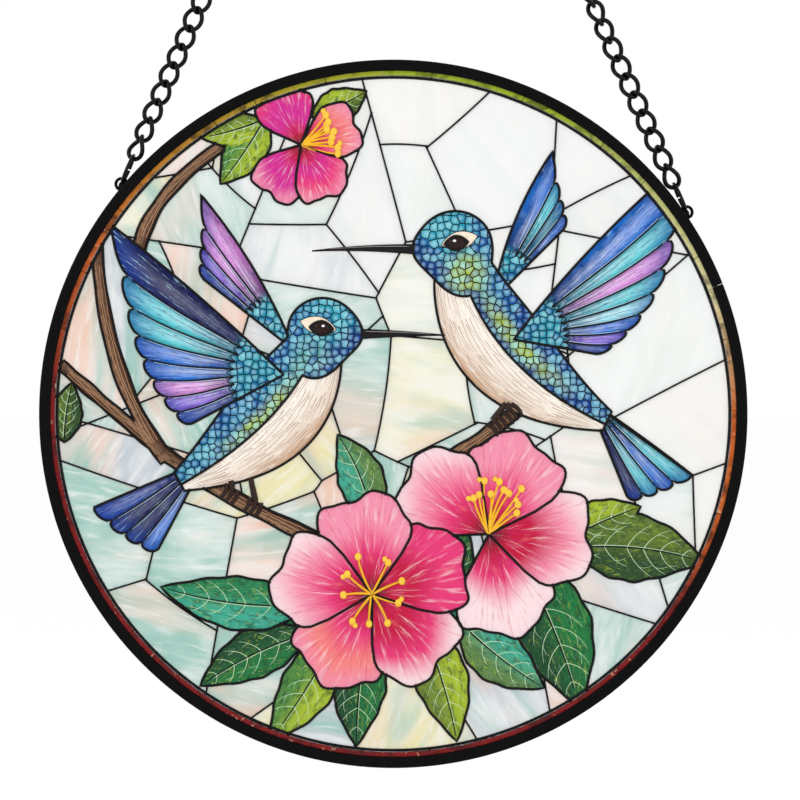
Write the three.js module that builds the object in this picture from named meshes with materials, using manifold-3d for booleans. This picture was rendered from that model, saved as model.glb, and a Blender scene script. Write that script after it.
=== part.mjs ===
// Round stained glass suncatcher: two hummingbirds, hibiscus blossoms, leaves and branches in
// leaded glass, a black metal channel round the rim, and two chains that meet in a hanging ring.
// Millimetres, +Z up, the picture faces -Y. The origin is at the inner crown of the hanging ring,
// where a hook carries it.
import * as THREE from 'three';
import { mergeVertices } from 'three/addons/utils/BufferGeometryUtils.js';
import Module from 'manifold-3d';

const wasm = await Module();
wasm.setup();

// Driving dimensions
const PANEL_RADIUS = 100;
const HANG_HEIGHT = 250; // from the panel's centre up to the inner crown of the hanging ring

const FRAME_FACE = 3.1; // width of the black rim seen from the front
const FRAME_DEPTH = 6;
const FRAME_WALL = 1.2;
const SEAM_ANGLE = 21.6; // degrees from +X, where the two ends of the bent channel butt
const SEAM_GAP = 0.35;

const GLASS_THICKNESS = 3;
const LEAD_WIDTH = 0.7;
const LEAD_DEPTH = 4.2;
const FITTING_GAP = 0.2; // clearance between two pieces that touch
const BORDER_WIDTH = 1.3; // coloured strip that shows between the rim and the outer lead line
const SMALLEST_GLASS = 34; // square millimetres as drawn, smaller scraps are filled with lead

const LOOP_ANGLES = { left: 139.8, right: 34.5 }; // degrees from +X, the wire loops on the rim
const LOOP_RADIUS = 1.6;
const LOOP_STANDOFF = 0.7; // from the rim's outer face to a loop's centre
const LOOP_WIRE = 0.9;
const JUMP_RADIUS = 4.2;
const JUMP_WIRE = 0.9;
const RING_RADIUS = 9.8;
const RING_WIRE = 2.4;

const LINK_WIRE = 0.9;
const LINK_WIDTH = 5.9;
const LINK_PITCH = 5.65; // wanted pitch, trimmed so that whole links fill the span
const LINK_BITE = 0.25; // how far neighbouring links are fused where they bear on each other
const LINK_TWIST = 90; // degrees between the two crowns of one link
const CHAIN_TURN = { left: 12, right: 70 }; // degrees of slack turn along each chain
const CHAIN_SWING = 9; // how fast that turn comes and goes
const END_GRIP = 8; // the higher, the fewer links turn with the rings at both ends

// Steps of the facets
const ROUND_STEPS = 40;
const LINK_STEPS = 6;
const LINK_SIDES = 3;
const LINK_SECTION = 1.2; // makes up for the flats of a wire with few sides
const SMALL_RING_STEPS = [5, 12]; // round the wire and round the ring
const HANGING_RING_STEPS = [6, 18];

// Materials
const paint = (color, roughness, metalness, opacity = 1) => new THREE.MeshStandardMaterial({
  color, roughness, metalness, opacity, transparent: opacity < 1,
});
const MATERIAL = {
  frame: paint(0x0b0b0c, 0.45, 0.6),
  chain: paint(0x0d0d0e, 0.3, 0.9),
  lead: paint(0x17171a, 0.4, 0.8),
  white: paint(0xf2f0ea, 0.2, 0, 0.6),
  ruby: paint(0x8a1a22, 0.15, 0, 0.6),
  teal: paint(0x1fa6b4, 0.2, 0, 0.6),
  cream: paint(0xf0e2cf, 0.25, 0, 0.6),
  blue: paint(0x2e72c8, 0.2, 0, 0.6),
  navy: paint(0x1c3486, 0.2, 0, 0.6),
  pink: paint(0xe6608f, 0.2, 0, 0.6),
  rose: paint(0xd94a9a, 0.2, 0, 0.6),
  leaf: paint(0x2f8a4c, 0.25, 0, 0.6),
  bark: paint(0x6a4030, 0.4, 0, 0.8),
};

// Solids
const radians = THREE.MathUtils.degToRad;
const mix = THREE.MathUtils.lerp;
const point = (x, y) => new THREE.Vector2(x, y);
const fromAngle = (angle, reach) => point(Math.cos(angle) * reach, Math.sin(angle) * reach);

function toSolid(geometry) {
  geometry.deleteAttribute('normal');
  geometry.deleteAttribute('uv');
  const merged = mergeVertices(geometry, 1e-5);
  return new wasm.Manifold(new wasm.Mesh({
    numProp: 3,
    vertProperties: new Float32Array(merged.attributes.position.array),
    triVerts: new Uint32Array(merged.index.array),
  }));
}

function toGeometry(solid) {
  const mesh = solid.getMesh();
  const geometry = new THREE.BufferGeometry();
  geometry.setAttribute('position', new THREE.BufferAttribute(new Float32Array(mesh.vertProperties), 3));
  geometry.setIndex(new THREE.BufferAttribute(new Uint32Array(mesh.triVerts), 1));
  geometry.computeVertexNormals();
  return geometry;
}

// The separate bodies of one solid, found by following shared corners.
function bodiesOf(solid) {
  const { vertProperties, triVerts } = solid.getMesh();
  const leader = Array.from({ length: vertProperties.length / 3 }, (_, index) => index);
  const find = (index) => {
    while (leader[index] !== index) index = leader[index] = leader[leader[index]];
    return index;
  };
  for (let t = 0; t < triVerts.length; t += 3) {
    leader[find(triVerts[t])] = find(triVerts[t + 1]);
    leader[find(triVerts[t + 1])] = find(triVerts[t + 2]);
  }
  const groups = new Map();
  for (let t = 0; t < triVerts.length; t += 3) {
    const key = find(triVerts[t]);
    if (!groups.has(key)) groups.set(key, []);
    groups.get(key).push(triVerts[t], triVerts[t + 1], triVerts[t + 2]);
  }
  return [...groups.values()].map((triangles) => {
    const geometry = new THREE.BufferGeometry();
    geometry.setAttribute('position', new THREE.BufferAttribute(new Float32Array(vertProperties), 3));
    geometry.setIndex(triangles);
    return toSolid(geometry.toNonIndexed());
  });
}

function volumeOf(solid) {
  const { vertProperties, triVerts } = solid.getMesh();
  const corner = (index) => new THREE.Vector3().fromArray(vertProperties, triVerts[index] * 3);
  let sum = 0;
  for (let t = 0; t < triVerts.length; t += 3) {
    sum += corner(t).dot(corner(t + 1).cross(corner(t + 2))) / 6;
  }
  return sum;
}

function plate(outline, thickness) {
  const geometry = new THREE.ExtrudeGeometry(new THREE.Shape(outline), {
    depth: thickness, bevelEnabled: false,
  });
  return toSolid(geometry.translate(0, 0, -thickness / 2));
}

const join = (solids) => solids.reduce((whole, solid) => whole.add(solid));

// Outlines
function circle(radius) {
  return Array.from({ length: ROUND_STEPS }, (_, i) => fromAngle((i / ROUND_STEPS) * 2 * Math.PI, radius));
}

// Moves an outline outwards by a distance, or inwards where it is negative, with blunt corners.
function grow(outline, distance) {
  const bluntest = 2;
  const side = THREE.ShapeUtils.isClockWise(outline) ? -1 : 1;
  return outline.map((here, i) => {
    const before = outline[(i + outline.length - 1) % outline.length];
    const after = outline[(i + 1) % outline.length];
    const a = here.clone().sub(before).normalize();
    const b = after.clone().sub(here).normalize();
    const normal = point(a.y + b.y, -a.x - b.x).normalize();
    const stretch = Math.min(bluntest, 1 / Math.max(0.01, normal.dot(point(a.y, -a.x))));
    return here.clone().addScaledVector(normal, side * distance * stretch);
  });
}

// A strip beside a curve, from one share of its length to another, between two side widths.
function strip(curve, from, to, leftOf, rightOf, steps) {
  const rim = (sideOf, sign) => Array.from({ length: steps + 1 }, (_, i) => {
    const share = mix(from, to, i / steps);
    const along = curve.getTangent(share);
    const normal = point(-along.y, along.x);
    return curve.getPoint(share).addScaledVector(normal, sign * sideOf(share));
  });
  return [...rim(leftOf, 1), ...rim(rightOf, -1).reverse()];
}

const bend = (a, b, c) => new THREE.QuadraticBezierCurve(a, b, c);

// A leaf on a curved midrib, pointed at both ends and widest a little before its middle.
const LEAF_FORWARD = 0.85;
const LEAF_FULLNESS = 0.9;

function leafOutline(base, angle, length, width, bow, steps = 3) {
  const tip = base.clone().add(fromAngle(radians(angle), length));
  const middle = base.clone().lerp(tip, 0.5).add(fromAngle(radians(angle + 90), bow));
  const half = (share) => (width / 2) * Math.sin(Math.PI * share ** LEAF_FORWARD) ** LEAF_FULLNESS;
  const sides = strip(bend(base, middle, tip), 0, 1, half, half, steps);
  return sides.filter((_, i) => i !== sides.length - 1 && i !== steps + 1);
}

// A broad petal that fans out of the middle of a blossom, with a soft ruffle on its rim.
const PETAL_SPREAD = 42; // degrees to each side of a petal's middle
const PETAL_SHOULDER = 0.5; // how far the petal reaches at its sides, as a share of its length
const PETAL_ROUNDNESS = 3;
const RUFFLE = 0.05;
const RUFFLE_WAVES = 7;

function petalOutline(center, angle, length, steps = 7) {
  const rim = Array.from({ length: steps + 1 }, (_, i) => {
    const share = mix(-1, 1, i / steps);
    const round = Math.sqrt(1 - Math.abs(share) ** PETAL_ROUNDNESS);
    const wave = 1 + RUFFLE * Math.cos(RUFFLE_WAVES * share + angle);
    const reach = length * mix(PETAL_SHOULDER, 1, round) * wave;
    return center.clone().add(fromAngle(radians(angle + share * PETAL_SPREAD), reach));
  });
  return [center.clone(), ...rim];
}

// A fan of feathers: long at the leading edge, short at the trailing edge, notched between tips.
const FEATHER_FALL = 0.6; // how fast the feathers shorten behind the leading edge
const BROAD_FALL = 1.2; // the same for a wing that is held broad
const FEATHER_NOTCH = 0.05; // depth of the notch between two tips, as a share of their reach
const LEADING_EDGE = [0.35, 0.7]; // where the bowed leading edge has its corners

function fanOutline(fan, perFeather = 2) {
  const steps = fan.feathers * perFeather;
  const rim = Array.from({ length: steps + 1 }, (_, i) => i / steps)
    .map((share) => fanPoint(fan, share, fanReach(fan, share)));
  const lead = bend(fan.root, fan.root.clone().lerp(rim[0], 0.5).add(
    fromAngle(radians(fan.from + 90), fan.bow)), rim[0]);
  return [fan.root.clone(), ...LEADING_EDGE.map((share) => lead.getPoint(share)), ...rim];
}

function fanReach(fan, share) {
  const envelope = fan.long * (fan.short / fan.long) ** (share ** fan.fall);
  const tip = Math.sqrt(Math.abs(Math.sin(Math.PI * fan.feathers * share)));
  return envelope * (1 - FEATHER_NOTCH * (1 - tip));
}

function fanPoint(fan, share, reach) {
  return fan.root.clone().add(fromAngle(radians(mix(fan.from, fan.to, share)), reach));
}

// The lines between the feathers of a fan, from the small coverts out to its notches.
function fanLines(fan) {
  const half = () => LEAD_WIDTH / 2;
  return Array.from({ length: fan.feathers - 1 }, (_, i) => {
    const share = (i + 1) / fan.feathers;
    const quill = new THREE.LineCurve(
      fanPoint(fan, share, fan.coverts), fanPoint(fan, share, fanReach(fan, share) + LEAD_WIDTH / 2));
    return strip(quill, 0, 1, half, half, 1);
  });
}

// The picture, from the front figures to those behind. Its measures are drawn for a glass circle
// of this radius, and grow with the panel.
const DRAWN_RADIUS = 95.6;
const LEAD_RADIUS = PANEL_RADIUS - FRAME_FACE - BORDER_WIDTH;
const LINE_HALF = LEAD_WIDTH / 2;
const DRAWN = LEAD_RADIUS / DRAWN_RADIUS;
const at = (x, y) => point(x * DRAWN, y * DRAWN);

// Where a bird's back and belly start on its spine, as a share of it, and how far they stand off
// it at the neck, at the tail and in between.
const BACK = { start: 0.05, neck: 6.5, vent: 4, bulge: 7 };
const BELLY = { start: 0.1, neck: 6.2, vent: 2, bulge: 9 };
const BODY_STEPS = 4;
const BILL_START = 0.2; // as a share of the way from the head's middle to the bill's tip
const BILL_HALF = 1.7;
const BILL_TIP = 0.12;
const HEAD_STEPS = 16;
const HEAD_SQUASH = 0.94;
const BIB = { turn: -106, spread: 38, swell: 0.5 }; // throat feathers of a bird that faces right
const LORE = { turn: -8, spread: 30, swell: 0.16 }; // the slope from the forehead to the bill

// A round head that swells towards the bill and into the bib.
function headOutline(center, radius, facing) {
  return Array.from({ length: HEAD_STEPS }, (_, i) => {
    const turn = -180 + (360 * i) / HEAD_STEPS;
    const swell = [BIB, LORE].reduce(
      (sum, lobe) => sum + lobe.swell * Math.exp(-(((turn - lobe.turn) / lobe.spread) ** 2)), 1);
    const away = fromAngle(radians(turn), radius * swell);
    return point(center.x + facing * away.x, center.y + HEAD_SQUASH * away.y);
  });
}

// One bird, facing left or right, each part drawn from its head, its tail base and its shoulder.
function bird(name, b) {
  const spine = bend(b.head, b.chest, b.rump);
  const body = ({ neck, vent, bulge }) => (share) => (
    (mix(neck, vent, share) + bulge * Math.sin(Math.PI * share)) * DRAWN);
  const back = body(BACK);
  const belly = body(BELLY);
  const none = () => 0;
  const facing = Math.sign(b.bill.x - b.head.x);
  const [left, right] = facing > 0 ? [belly, none] : [none, belly];
  const [leftBack, rightBack] = facing > 0 ? [none, back] : [back, none];
  const bill = bend(b.head, b.head.clone().lerp(b.bill, 0.5).add(at(0, b.billBow)), b.bill);
  const taper = (share) => (BILL_HALF * (1 - share) + BILL_TIP) * DRAWN;
  const head = headOutline(b.head, b.headRadius * DRAWN, facing);
  const pane = (part, outline, color) => ({ name: `${name}_${part}`, outlines: [outline], color });
  const feathers = (part, fan, color) => ({ ...pane(part, fanOutline(fan), color), lines: fanLines(fan) });
  return [
    {
      name: `${name}_bill`,
      outlines: [strip(bill, BILL_START, 1, taper, taper, BODY_STEPS)],
      solidLead: true,
    },
    pane('head', head, 'teal'),
    feathers('near_wing', b.nearWing, 'blue'),
    pane('belly', strip(spine, BELLY.start, 1, left, right, BODY_STEPS), 'cream'),
    pane('back', strip(spine, BACK.start, 1, leftBack, rightBack, BODY_STEPS), 'teal'),
    feathers('far_wing', b.farWing, 'navy'),
    feathers('tail', b.tail, 'navy'),
  ];
}

// A blossom of petals spread round its middle, each lying over the next.
function blossom(name, center, turns, length, color) {
  return turns.map((angle, i) => ({
    name: `${name}_petal_${i + 1}`,
    outlines: [petalOutline(center, angle, length * DRAWN)],
    color,
  }));
}

// Leaves, each from its stalk's end at x and y. A pair is fused where the two touch.
const leaves = (name, ...places) => ({
  name,
  outlines: places.map(([x, y, angle, length, width, bow]) => (
    leafOutline(at(x, y), angle, length * DRAWN, width * DRAWN, bow * DRAWN))),
  color: 'leaf',
});

const bough = (a, b, c, thick, thin, steps = 4) => {
  const half = (share) => (mix(thick, thin, share) / 2) * DRAWN;
  return strip(bend(a, b, c), 0, 1, half, half, steps);
};

const wingFan = (root, from, to, long, short, feathers, coverts, bow, fall = FEATHER_FALL) => ({
  root, from, to, feathers, fall,
  long: long * DRAWN, short: short * DRAWN, coverts: coverts * DRAWN, bow: bow * DRAWN,
});

const FIGURES = [
  ...bird('left_bird', {
    head: at(-20, 23.5), headRadius: 9.8, bill: at(17, 22), billBow: 0.6,
    chest: at(-28, -2), rump: at(-60, -20),
    nearWing: wingFan(at(-31, 11), 139, 208, 69, 31, 8, 16, -2),
    farWing: wingFan(at(-28, 18), 121, 142, 54, 34, 4, 18, -4),
    tail: wingFan(at(-53, -13), 203, 242, 36, 30, 4, 9, 0),
  }),
  ...bird('right_bird', {
    head: at(17.5, 47.5), headRadius: 10.4, bill: at(-23, 46), billBow: 1,
    chest: at(24, 14), rump: at(60, -3),
    nearWing: wingFan(at(34, 21), 47, -10, 65, 25, 8, 16, 3, BROAD_FALL),
    farWing: wingFan(at(28, 32), 68, 45, 48, 30, 4, 16, 5),
    tail: wingFan(at(55, 4), -36, -68, 38, 31, 4, 9, 0),
  }),
  ...blossom('low_blossom', at(-6, -51), [168, 96, 24, -48, -120], 28, 'pink'),
  ...blossom('mid_blossom', at(27, -34), [140, 68, -4, -76], 29, 'pink'),
  ...blossom('top_blossom', at(-26, 76), [114, 22, -58, -122], 17, 'rose'),
  leaves('leaf_pair_lime', [-37, 83, 196, 18, 9, 1], [-36, 84, 236, 23, 12, 1]),
  leaves('leaf_olive_top', [-23, 84, 25, 17, 10, -1]),
  leaves('leaf_centre_tall', [-6, -30, 112, 26, 13, -3]),
  leaves('leaf_teal_long', [-24, -54, 173, 42, 15, 4]),
  leaves('leaf_teal_low', [-24, -62, 206, 34, 14, -3]),
  leaves('leaf_green_low', [-16, -62, 238, 36, 15, 2]),
  leaves('leaf_dark_low', [-7, -62, 264, 32, 15, -2]),
  leaves('leaf_lime_low', [8, -60, 287, 34, 15, 2]),
  leaves('leaf_olive_mid', [19, -59, 322, 30, 15, -2]),
  leaves('leaf_green_big', [36, -42, 292, 44, 22, 3]),
  leaves('leaf_pair_right', [50, -38, 354, 38, 19, 4], [48, -36, 24, 24, 13, 1]),
  {
    name: 'branch_left',
    outlines: [
      bough(at(-20, -36), at(-44, -26), at(-65, -11), 3.8, 4.2, 3),
      bough(at(-64, -13), at(-82, 10), at(-84, 50), 4.2, 3.2, 4),
      bough(at(-94, 14), at(-82, 3), at(-66, -10), 3, 3.4, 2),
    ],
    color: 'bark',
  },
  {
    name: 'branch_top',
    outlines: [bough(at(-72, 46), at(-68, 66), at(-38, 82), 3.8, 2.8, 4)],
    color: 'bark',
  },
  {
    name: 'branch_right',
    outlines: [bough(at(14, -14), at(30, -4), at(46, 10), 4, 3.2, 2)],
    color: 'bark',
  },
  { name: 'background', outlines: [circle(LEAD_RADIUS - LINE_HALF)], lines: [], color: 'white' },
];

// The lead lines between the background panes are the borders of cells round scattered seeds.
const CELL_COUNT = 17;
const CELL_SCATTER = 7;
const GOLDEN_ANGLE = Math.PI * (3 - Math.sqrt(5));
const scatter = (n) => {
  const value = Math.sin(n * 12.9898) * 43758.5453;
  return value - Math.floor(value) - 0.5;
};

function cellSeeds() {
  return Array.from({ length: CELL_COUNT }, (_, i) => {
    const seed = fromAngle(i * GOLDEN_ANGLE, DRAWN_RADIUS * Math.sqrt((i + 0.5) / CELL_COUNT));
    return at(seed.x + 2 * CELL_SCATTER * scatter(i + 1), seed.y + 2 * CELL_SCATTER * scatter(i + 101));
  });
}

// The cell of one seed: all that lies nearer to it than to any other, less half a lead line.
function cellOutline(seeds, seed) {
  const far = 2 * PANEL_RADIUS;
  let outline = [point(-far, -far), point(far, -far), point(far, far), point(-far, far)];
  for (const other of seeds.filter((each) => each !== seed)) {
    const away = other.clone().sub(seed);
    const limit = away.length() / 2 - LINE_HALF;
    away.normalize();
    const beyond = (place) => place.clone().sub(seed).dot(away) - limit;
    outline = outline.flatMap((here, i) => {
      const next = outline[(i + 1) % outline.length];
      const [a, b] = [beyond(here), beyond(next)];
      const crossing = (a < 0) !== (b < 0) ? [here.clone().lerp(next, a / (a - b))] : [];
      return a < 0 ? [here, ...crossing] : crossing;
    });
  }
  return outline;
}

// Panel: glass pieces, and the lead that fills all that is left between them
const boxOf = (outlines) => new THREE.Box2().setFromPoints(outlines.flat()).expandByScalar(LEAD_WIDTH);
const CUTTER = LEAD_DEPTH * 2;
const BEAD_BASE = GLASS_THICKNESS / 2 + FITTING_GAP;
const SHARED_VOLUME = 1; // cubic millimetres that a pane and its own opening share at least

function figureSolid(figure, growth, thickness) {
  return join(figure.outlines.map((outline) => plate(grow(outline, growth), thickness)));
}

// Panes that are fused in one solid have their lines as beads on the front face.
function beadsOf(figure) {
  const bead = (outline) => plate(outline, LEAD_DEPTH / 2 - BEAD_BASE)
    .translate([0, 0, (LEAD_DEPTH / 2 + BEAD_BASE) / 2]);
  if (figure.name !== 'background') return join(figure.lines.map(bead));
  const seeds = cellSeeds();
  return seeds.reduce((rest, seed) => rest.subtract(plate(cellOutline(seeds, seed), CUTTER)),
    bead(circle(LEAD_RADIUS - LINE_HALF)));
}

function makePanel() {
  const glassPieces = [];
  const holes = [];
  const beads = [];
  const innerRadius = LEAD_RADIUS - LEAD_WIDTH;
  const glassLimit = plate(circle(innerRadius - FITTING_GAP), GLASS_THICKNESS);
  const holeLimit = plate(circle(innerRadius), CUTTER);
  const beadLimit = plate(circle(LEAD_RADIUS - LINE_HALF), CUTTER);
  const covers = [];
  for (const figure of FIGURES) {
    const box = boxOf(figure.outlines);
    const above = covers.filter((cover) => cover.box.intersectsBox(box));
    const clear = (solid, kind) => above.reduce((rest, cover) => rest.subtract(cover[kind]), solid);
    if (!figure.solidLead) {
      const glass = clear(figureSolid(figure, -LINE_HALF - FITTING_GAP, GLASS_THICKNESS), 'glass')
        .intersect(glassLimit);
      const smallest = SMALLEST_GLASS * DRAWN ** 2 * GLASS_THICKNESS;
      const kept = bodiesOf(glass).filter((body) => volumeOf(body) > smallest);
      const opening = clear(figureSolid(figure, -LINE_HALF, CUTTER), 'hole').intersect(holeLimit);
      holes.push(...bodiesOf(opening).filter(
        (body) => kept.some((piece) => volumeOf(body.intersect(piece)) > SHARED_VOLUME)));
      kept.sort((a, b) => volumeOf(b) - volumeOf(a)).forEach((body, i) => glassPieces.push({
        name: kept.length > 1 ? `${figure.name}_${i + 1}` : figure.name, body, color: figure.color,
      }));
      if (figure.lines) beads.push(clear(beadsOf(figure), 'line').intersect(beadLimit));
    }
    const margin = figure.solidLead ? 0 : LINE_HALF;
    covers.push({
      box,
      glass: figureSolid(figure, margin + FITTING_GAP, CUTTER),
      hole: figureSolid(figure, margin, CUTTER),
      line: figureSolid(figure, 0, CUTTER),
    });
  }
  const network = holes.reduce((rest, hole) => rest.subtract(hole), plate(circle(LEAD_RADIUS), LEAD_DEPTH));
  const lead = join([network, ...beads]);
  const largest = bodiesOf(lead).sort((a, b) => volumeOf(b) - volumeOf(a))[0];
  return { glassPieces, lead: largest };
}

// Rim: a channel bent round the panel, with two soldered wire loops
const GROOVE_RADIUS = PANEL_RADIUS - FRAME_WALL;

function borderGlass() {
  const outer = plate(circle(GROOVE_RADIUS - FITTING_GAP), GLASS_THICKNESS);
  return outer.subtract(plate(circle(LEAD_RADIUS + FITTING_GAP), CUTTER));
}

const loopCenter = (side) => fromAngle(radians(LOOP_ANGLES[side]), PANEL_RADIUS + LOOP_STANDOFF);

function frameRing() {
  const half = FRAME_DEPTH / 2;
  const inner = PANEL_RADIUS - FRAME_FACE;
  const groove = half - FRAME_WALL;
  const profile = [
    point(PANEL_RADIUS, -half), point(PANEL_RADIUS, half), point(inner, half), point(inner, groove),
    point(GROOVE_RADIUS, groove), point(GROOVE_RADIUS, -groove), point(inner, -groove),
    point(inner, -half), point(PANEL_RADIUS, -half),
  ];
  const channel = toSolid(new THREE.LatheGeometry(profile, ROUND_STEPS).rotateX(Math.PI / 2));
  const seam = toSolid(new THREE.BoxGeometry(4 * FRAME_FACE, SEAM_GAP, 2 * FRAME_DEPTH)
    .translate(PANEL_RADIUS, 0, 0).rotateZ(radians(SEAM_ANGLE)));
  const inside = plate(circle(PANEL_RADIUS - FRAME_WALL / 2), CUTTER);
  const loops = ['left', 'right'].map((side) => {
    const center = loopCenter(side);
    return toSolid(new THREE.TorusGeometry(LOOP_RADIUS, LOOP_WIRE / 2, ...SMALL_RING_STEPS)
      .translate(center.x, center.y, 0)).subtract(inside);
  });
  return join([channel.subtract(seam), ...loops]);
}

// Hanging gear: a jump ring on each loop, a chain of twisted links, and the ring they meet in
const RING_CENTER = point(0, HANG_HEIGHT - (RING_RADIUS - RING_WIRE / 2));

function chainLine(side) {
  const foot = loopCenter(side);
  const along = RING_CENTER.clone().sub(foot);
  return { foot, length: along.length(), turn: along.angle() - Math.PI / 2 };
}

// Each builder below works upright along +Y from the loop's centre, then leans to the chain's line.
function lean(geometry, side) {
  const { foot, turn } = chainLine(side);
  return geometry.rotateZ(turn).translate(foot.x, foot.y, 0);
}

const JUMP_LOW = LOOP_RADIUS - (LOOP_WIRE + JUMP_WIRE) / 2 - FITTING_GAP;

function jumpRing(side) {
  const ring = new THREE.TorusGeometry(JUMP_RADIUS, JUMP_WIRE / 2, ...SMALL_RING_STEPS).rotateY(Math.PI / 2);
  return lean(ring.translate(0, JUMP_LOW + JUMP_RADIUS, 0), side);
}

// The centre line of one link: upright from its base, with flat crowns that are turned apart.
class LinkLine extends THREE.Curve {
  constructor(base, length, lowTurn, highTurn) {
    super();
    Object.assign(this, { base, length, lowTurn, highTurn });
  }

  getPoint(share, target = new THREE.Vector3()) {
    const angle = (share + 0.5 / LINK_STEPS) * 2 * Math.PI;
    const height = (1 - Math.cos(angle) / Math.cos(Math.PI / LINK_STEPS)) / 2;
    const across = ((LINK_WIDTH - LINK_WIRE) / 2) * Math.sin(angle);
    const turn = mix(this.lowTurn, this.highTurn, height);
    return target.set(across * Math.cos(turn), this.base + this.length * height, across * Math.sin(turn));
  }

  getPointAt(share, target) {
    return this.getPoint(share, target);
  }

  // The wire keeps one edge towards the middle of the link.
  computeFrenetFrames(segments) {
    const middle = new THREE.Vector3(0, this.base + this.length / 2, 0);
    const frames = { tangents: [], normals: [], binormals: [] };
    for (let i = 0; i <= segments; i += 1) {
      const tangent = this.getPoint((i + 1) / segments).sub(this.getPoint((i - 1) / segments)).normalize();
      const outward = this.getPoint(i / segments).sub(middle);
      const normal = outward.addScaledVector(tangent, -outward.dot(tangent)).normalize();
      frames.tangents.push(tangent);
      frames.normals.push(normal);
      frames.binormals.push(tangent.clone().cross(normal));
    }
    return frames;
  }
}

const LINK_REACH = (LINK_WIRE / 2) * LINK_SECTION;

function chain(side) {
  const start = JUMP_LOW + 2 * JUMP_RADIUS - JUMP_WIRE / 2 - LINK_REACH - FITTING_GAP;
  const stop = chainLine(side).length - RING_RADIUS + RING_WIRE / 2 + LINK_REACH + FITTING_GAP;
  const count = Math.max(2, Math.round((stop - start) / LINK_PITCH));
  const nested = 2 * LINK_REACH * Math.cos(Math.PI / LINK_STEPS) - LINK_BITE;
  const length = (stop - start + (count - 1) * nested) / count;
  const links = Array.from({ length: count }, (_, i) => {
    const share = i / (count - 1);
    // The end links turn square to the rings they hang in, and the middle ones face the front.
    const ends = (LINK_TWIST / 2) * Math.abs(2 * share - 1) ** END_GRIP;
    const turn = ends + CHAIN_TURN[side] * Math.sin(Math.PI * share) ** 2 * Math.cos(CHAIN_SWING * share);
    const base = start + i * (length - nested);
    const line = new LinkLine(
      base, length, radians(turn - LINK_TWIST / 2), radians(turn + LINK_TWIST / 2));
    const wire = new THREE.TubeGeometry(line, LINK_STEPS, LINK_REACH, LINK_SIDES, true);
    return toSolid(lean(wire, side));
  });
  return join(links);
}

// Assembly, drawn facing +Z and then stood upright below the hook
const picture = new THREE.Group();
picture.rotation.x = Math.PI / 2;
picture.position.z = -HANG_HEIGHT;

function place(name, geometry, material) {
  const mesh = new THREE.Mesh(geometry, material);
  mesh.name = name;
  picture.add(mesh);
}

place('frame_ring', toGeometry(frameRing()), MATERIAL.frame);
place('border_glass', toGeometry(borderGlass()), MATERIAL.ruby);
const panel = makePanel();
place('lead_lines', toGeometry(panel.lead), MATERIAL.lead);
panel.glassPieces.forEach(({ name, body, color }) => place(name, toGeometry(body), MATERIAL[color]));
for (const side of ['left', 'right']) {
  place(`jump_ring_${side}`, jumpRing(side), MATERIAL.chain);
  place(`chain_${side}`, toGeometry(chain(side)), MATERIAL.chain);
}
place('hanging_ring', new THREE.TorusGeometry(RING_RADIUS, RING_WIRE / 2, ...HANGING_RING_STEPS)
  .translate(RING_CENTER.x, RING_CENTER.y, 0), MATERIAL.chain);

const suncatcher = new THREE.Group();
suncatcher.add(picture);

export default suncatcher;
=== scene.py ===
"""Round stained glass suncatcher: its glass, leadwork, rim and chains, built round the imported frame."""

import functools
import math

import bmesh
import bpy
import numpy as np
from bpy.props import FloatProperty, FloatVectorProperty, PointerProperty
from mathutils import Matrix, Vector
from mathutils.geometry import delaunay_2d_cdt


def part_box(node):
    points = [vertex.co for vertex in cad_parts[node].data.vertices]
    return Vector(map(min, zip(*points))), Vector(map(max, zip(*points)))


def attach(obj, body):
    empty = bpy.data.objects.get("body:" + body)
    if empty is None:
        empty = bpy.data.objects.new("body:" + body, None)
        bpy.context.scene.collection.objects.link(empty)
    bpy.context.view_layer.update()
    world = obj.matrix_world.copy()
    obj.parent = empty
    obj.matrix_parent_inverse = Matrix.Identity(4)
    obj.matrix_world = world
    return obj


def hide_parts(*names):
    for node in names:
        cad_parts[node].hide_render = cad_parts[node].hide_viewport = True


bl_info = {
    "name": "Round stained glass suncatcher",
    "version": (1, 0, 0),
    "blender": (4, 5, 0),
    "location": "3D View > Sidebar > Suncatcher",
    "description": "Builds the glass, leadwork, rim and chains of a round suncatcher",
    "category": "Add Mesh",
}

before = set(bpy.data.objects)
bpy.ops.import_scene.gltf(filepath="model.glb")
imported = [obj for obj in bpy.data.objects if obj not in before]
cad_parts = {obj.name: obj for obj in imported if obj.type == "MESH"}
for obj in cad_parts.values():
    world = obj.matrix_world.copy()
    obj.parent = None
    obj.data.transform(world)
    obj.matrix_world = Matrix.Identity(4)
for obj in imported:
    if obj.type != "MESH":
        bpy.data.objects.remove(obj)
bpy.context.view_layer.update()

# Sizes read from the frame. The picture is drawn in millimetres in the panel's own plane, with x to
# the right, y up and z towards the viewer, from the panel's centre.
MM = 0.001


def extent(node):
    """Width, depth and height of a frame node, in millimetres."""
    low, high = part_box(node)
    return tuple((high - low) / MM)


RIM_WIDTH, RIM_DEPTH, _ = extent("frame_ring")
PANEL_RADIUS = RIM_WIDTH / 2
PANEL_CENTER = sum(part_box("frame_ring"), Vector()) / 2
LEAD_RADIUS = extent("lead_lines")[0] / 2
LEAD_DEPTH = extent("lead_lines")[1]
GLASS = extent("border_glass")[1]
GROOVE_RADIUS = extent("border_glass")[0] / 2
RING_OUTER = extent("hanging_ring")[2] / 2
RING_HEIGHT = (sum(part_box("hanging_ring"), Vector()) / 2 - PANEL_CENTER).z / MM

# The picture's coordinates are written for a lead network of this radius, and scaled from it
DRAWN_RADIUS = 95.6
DRAWN = LEAD_RADIUS / DRAWN_RADIUS


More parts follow.
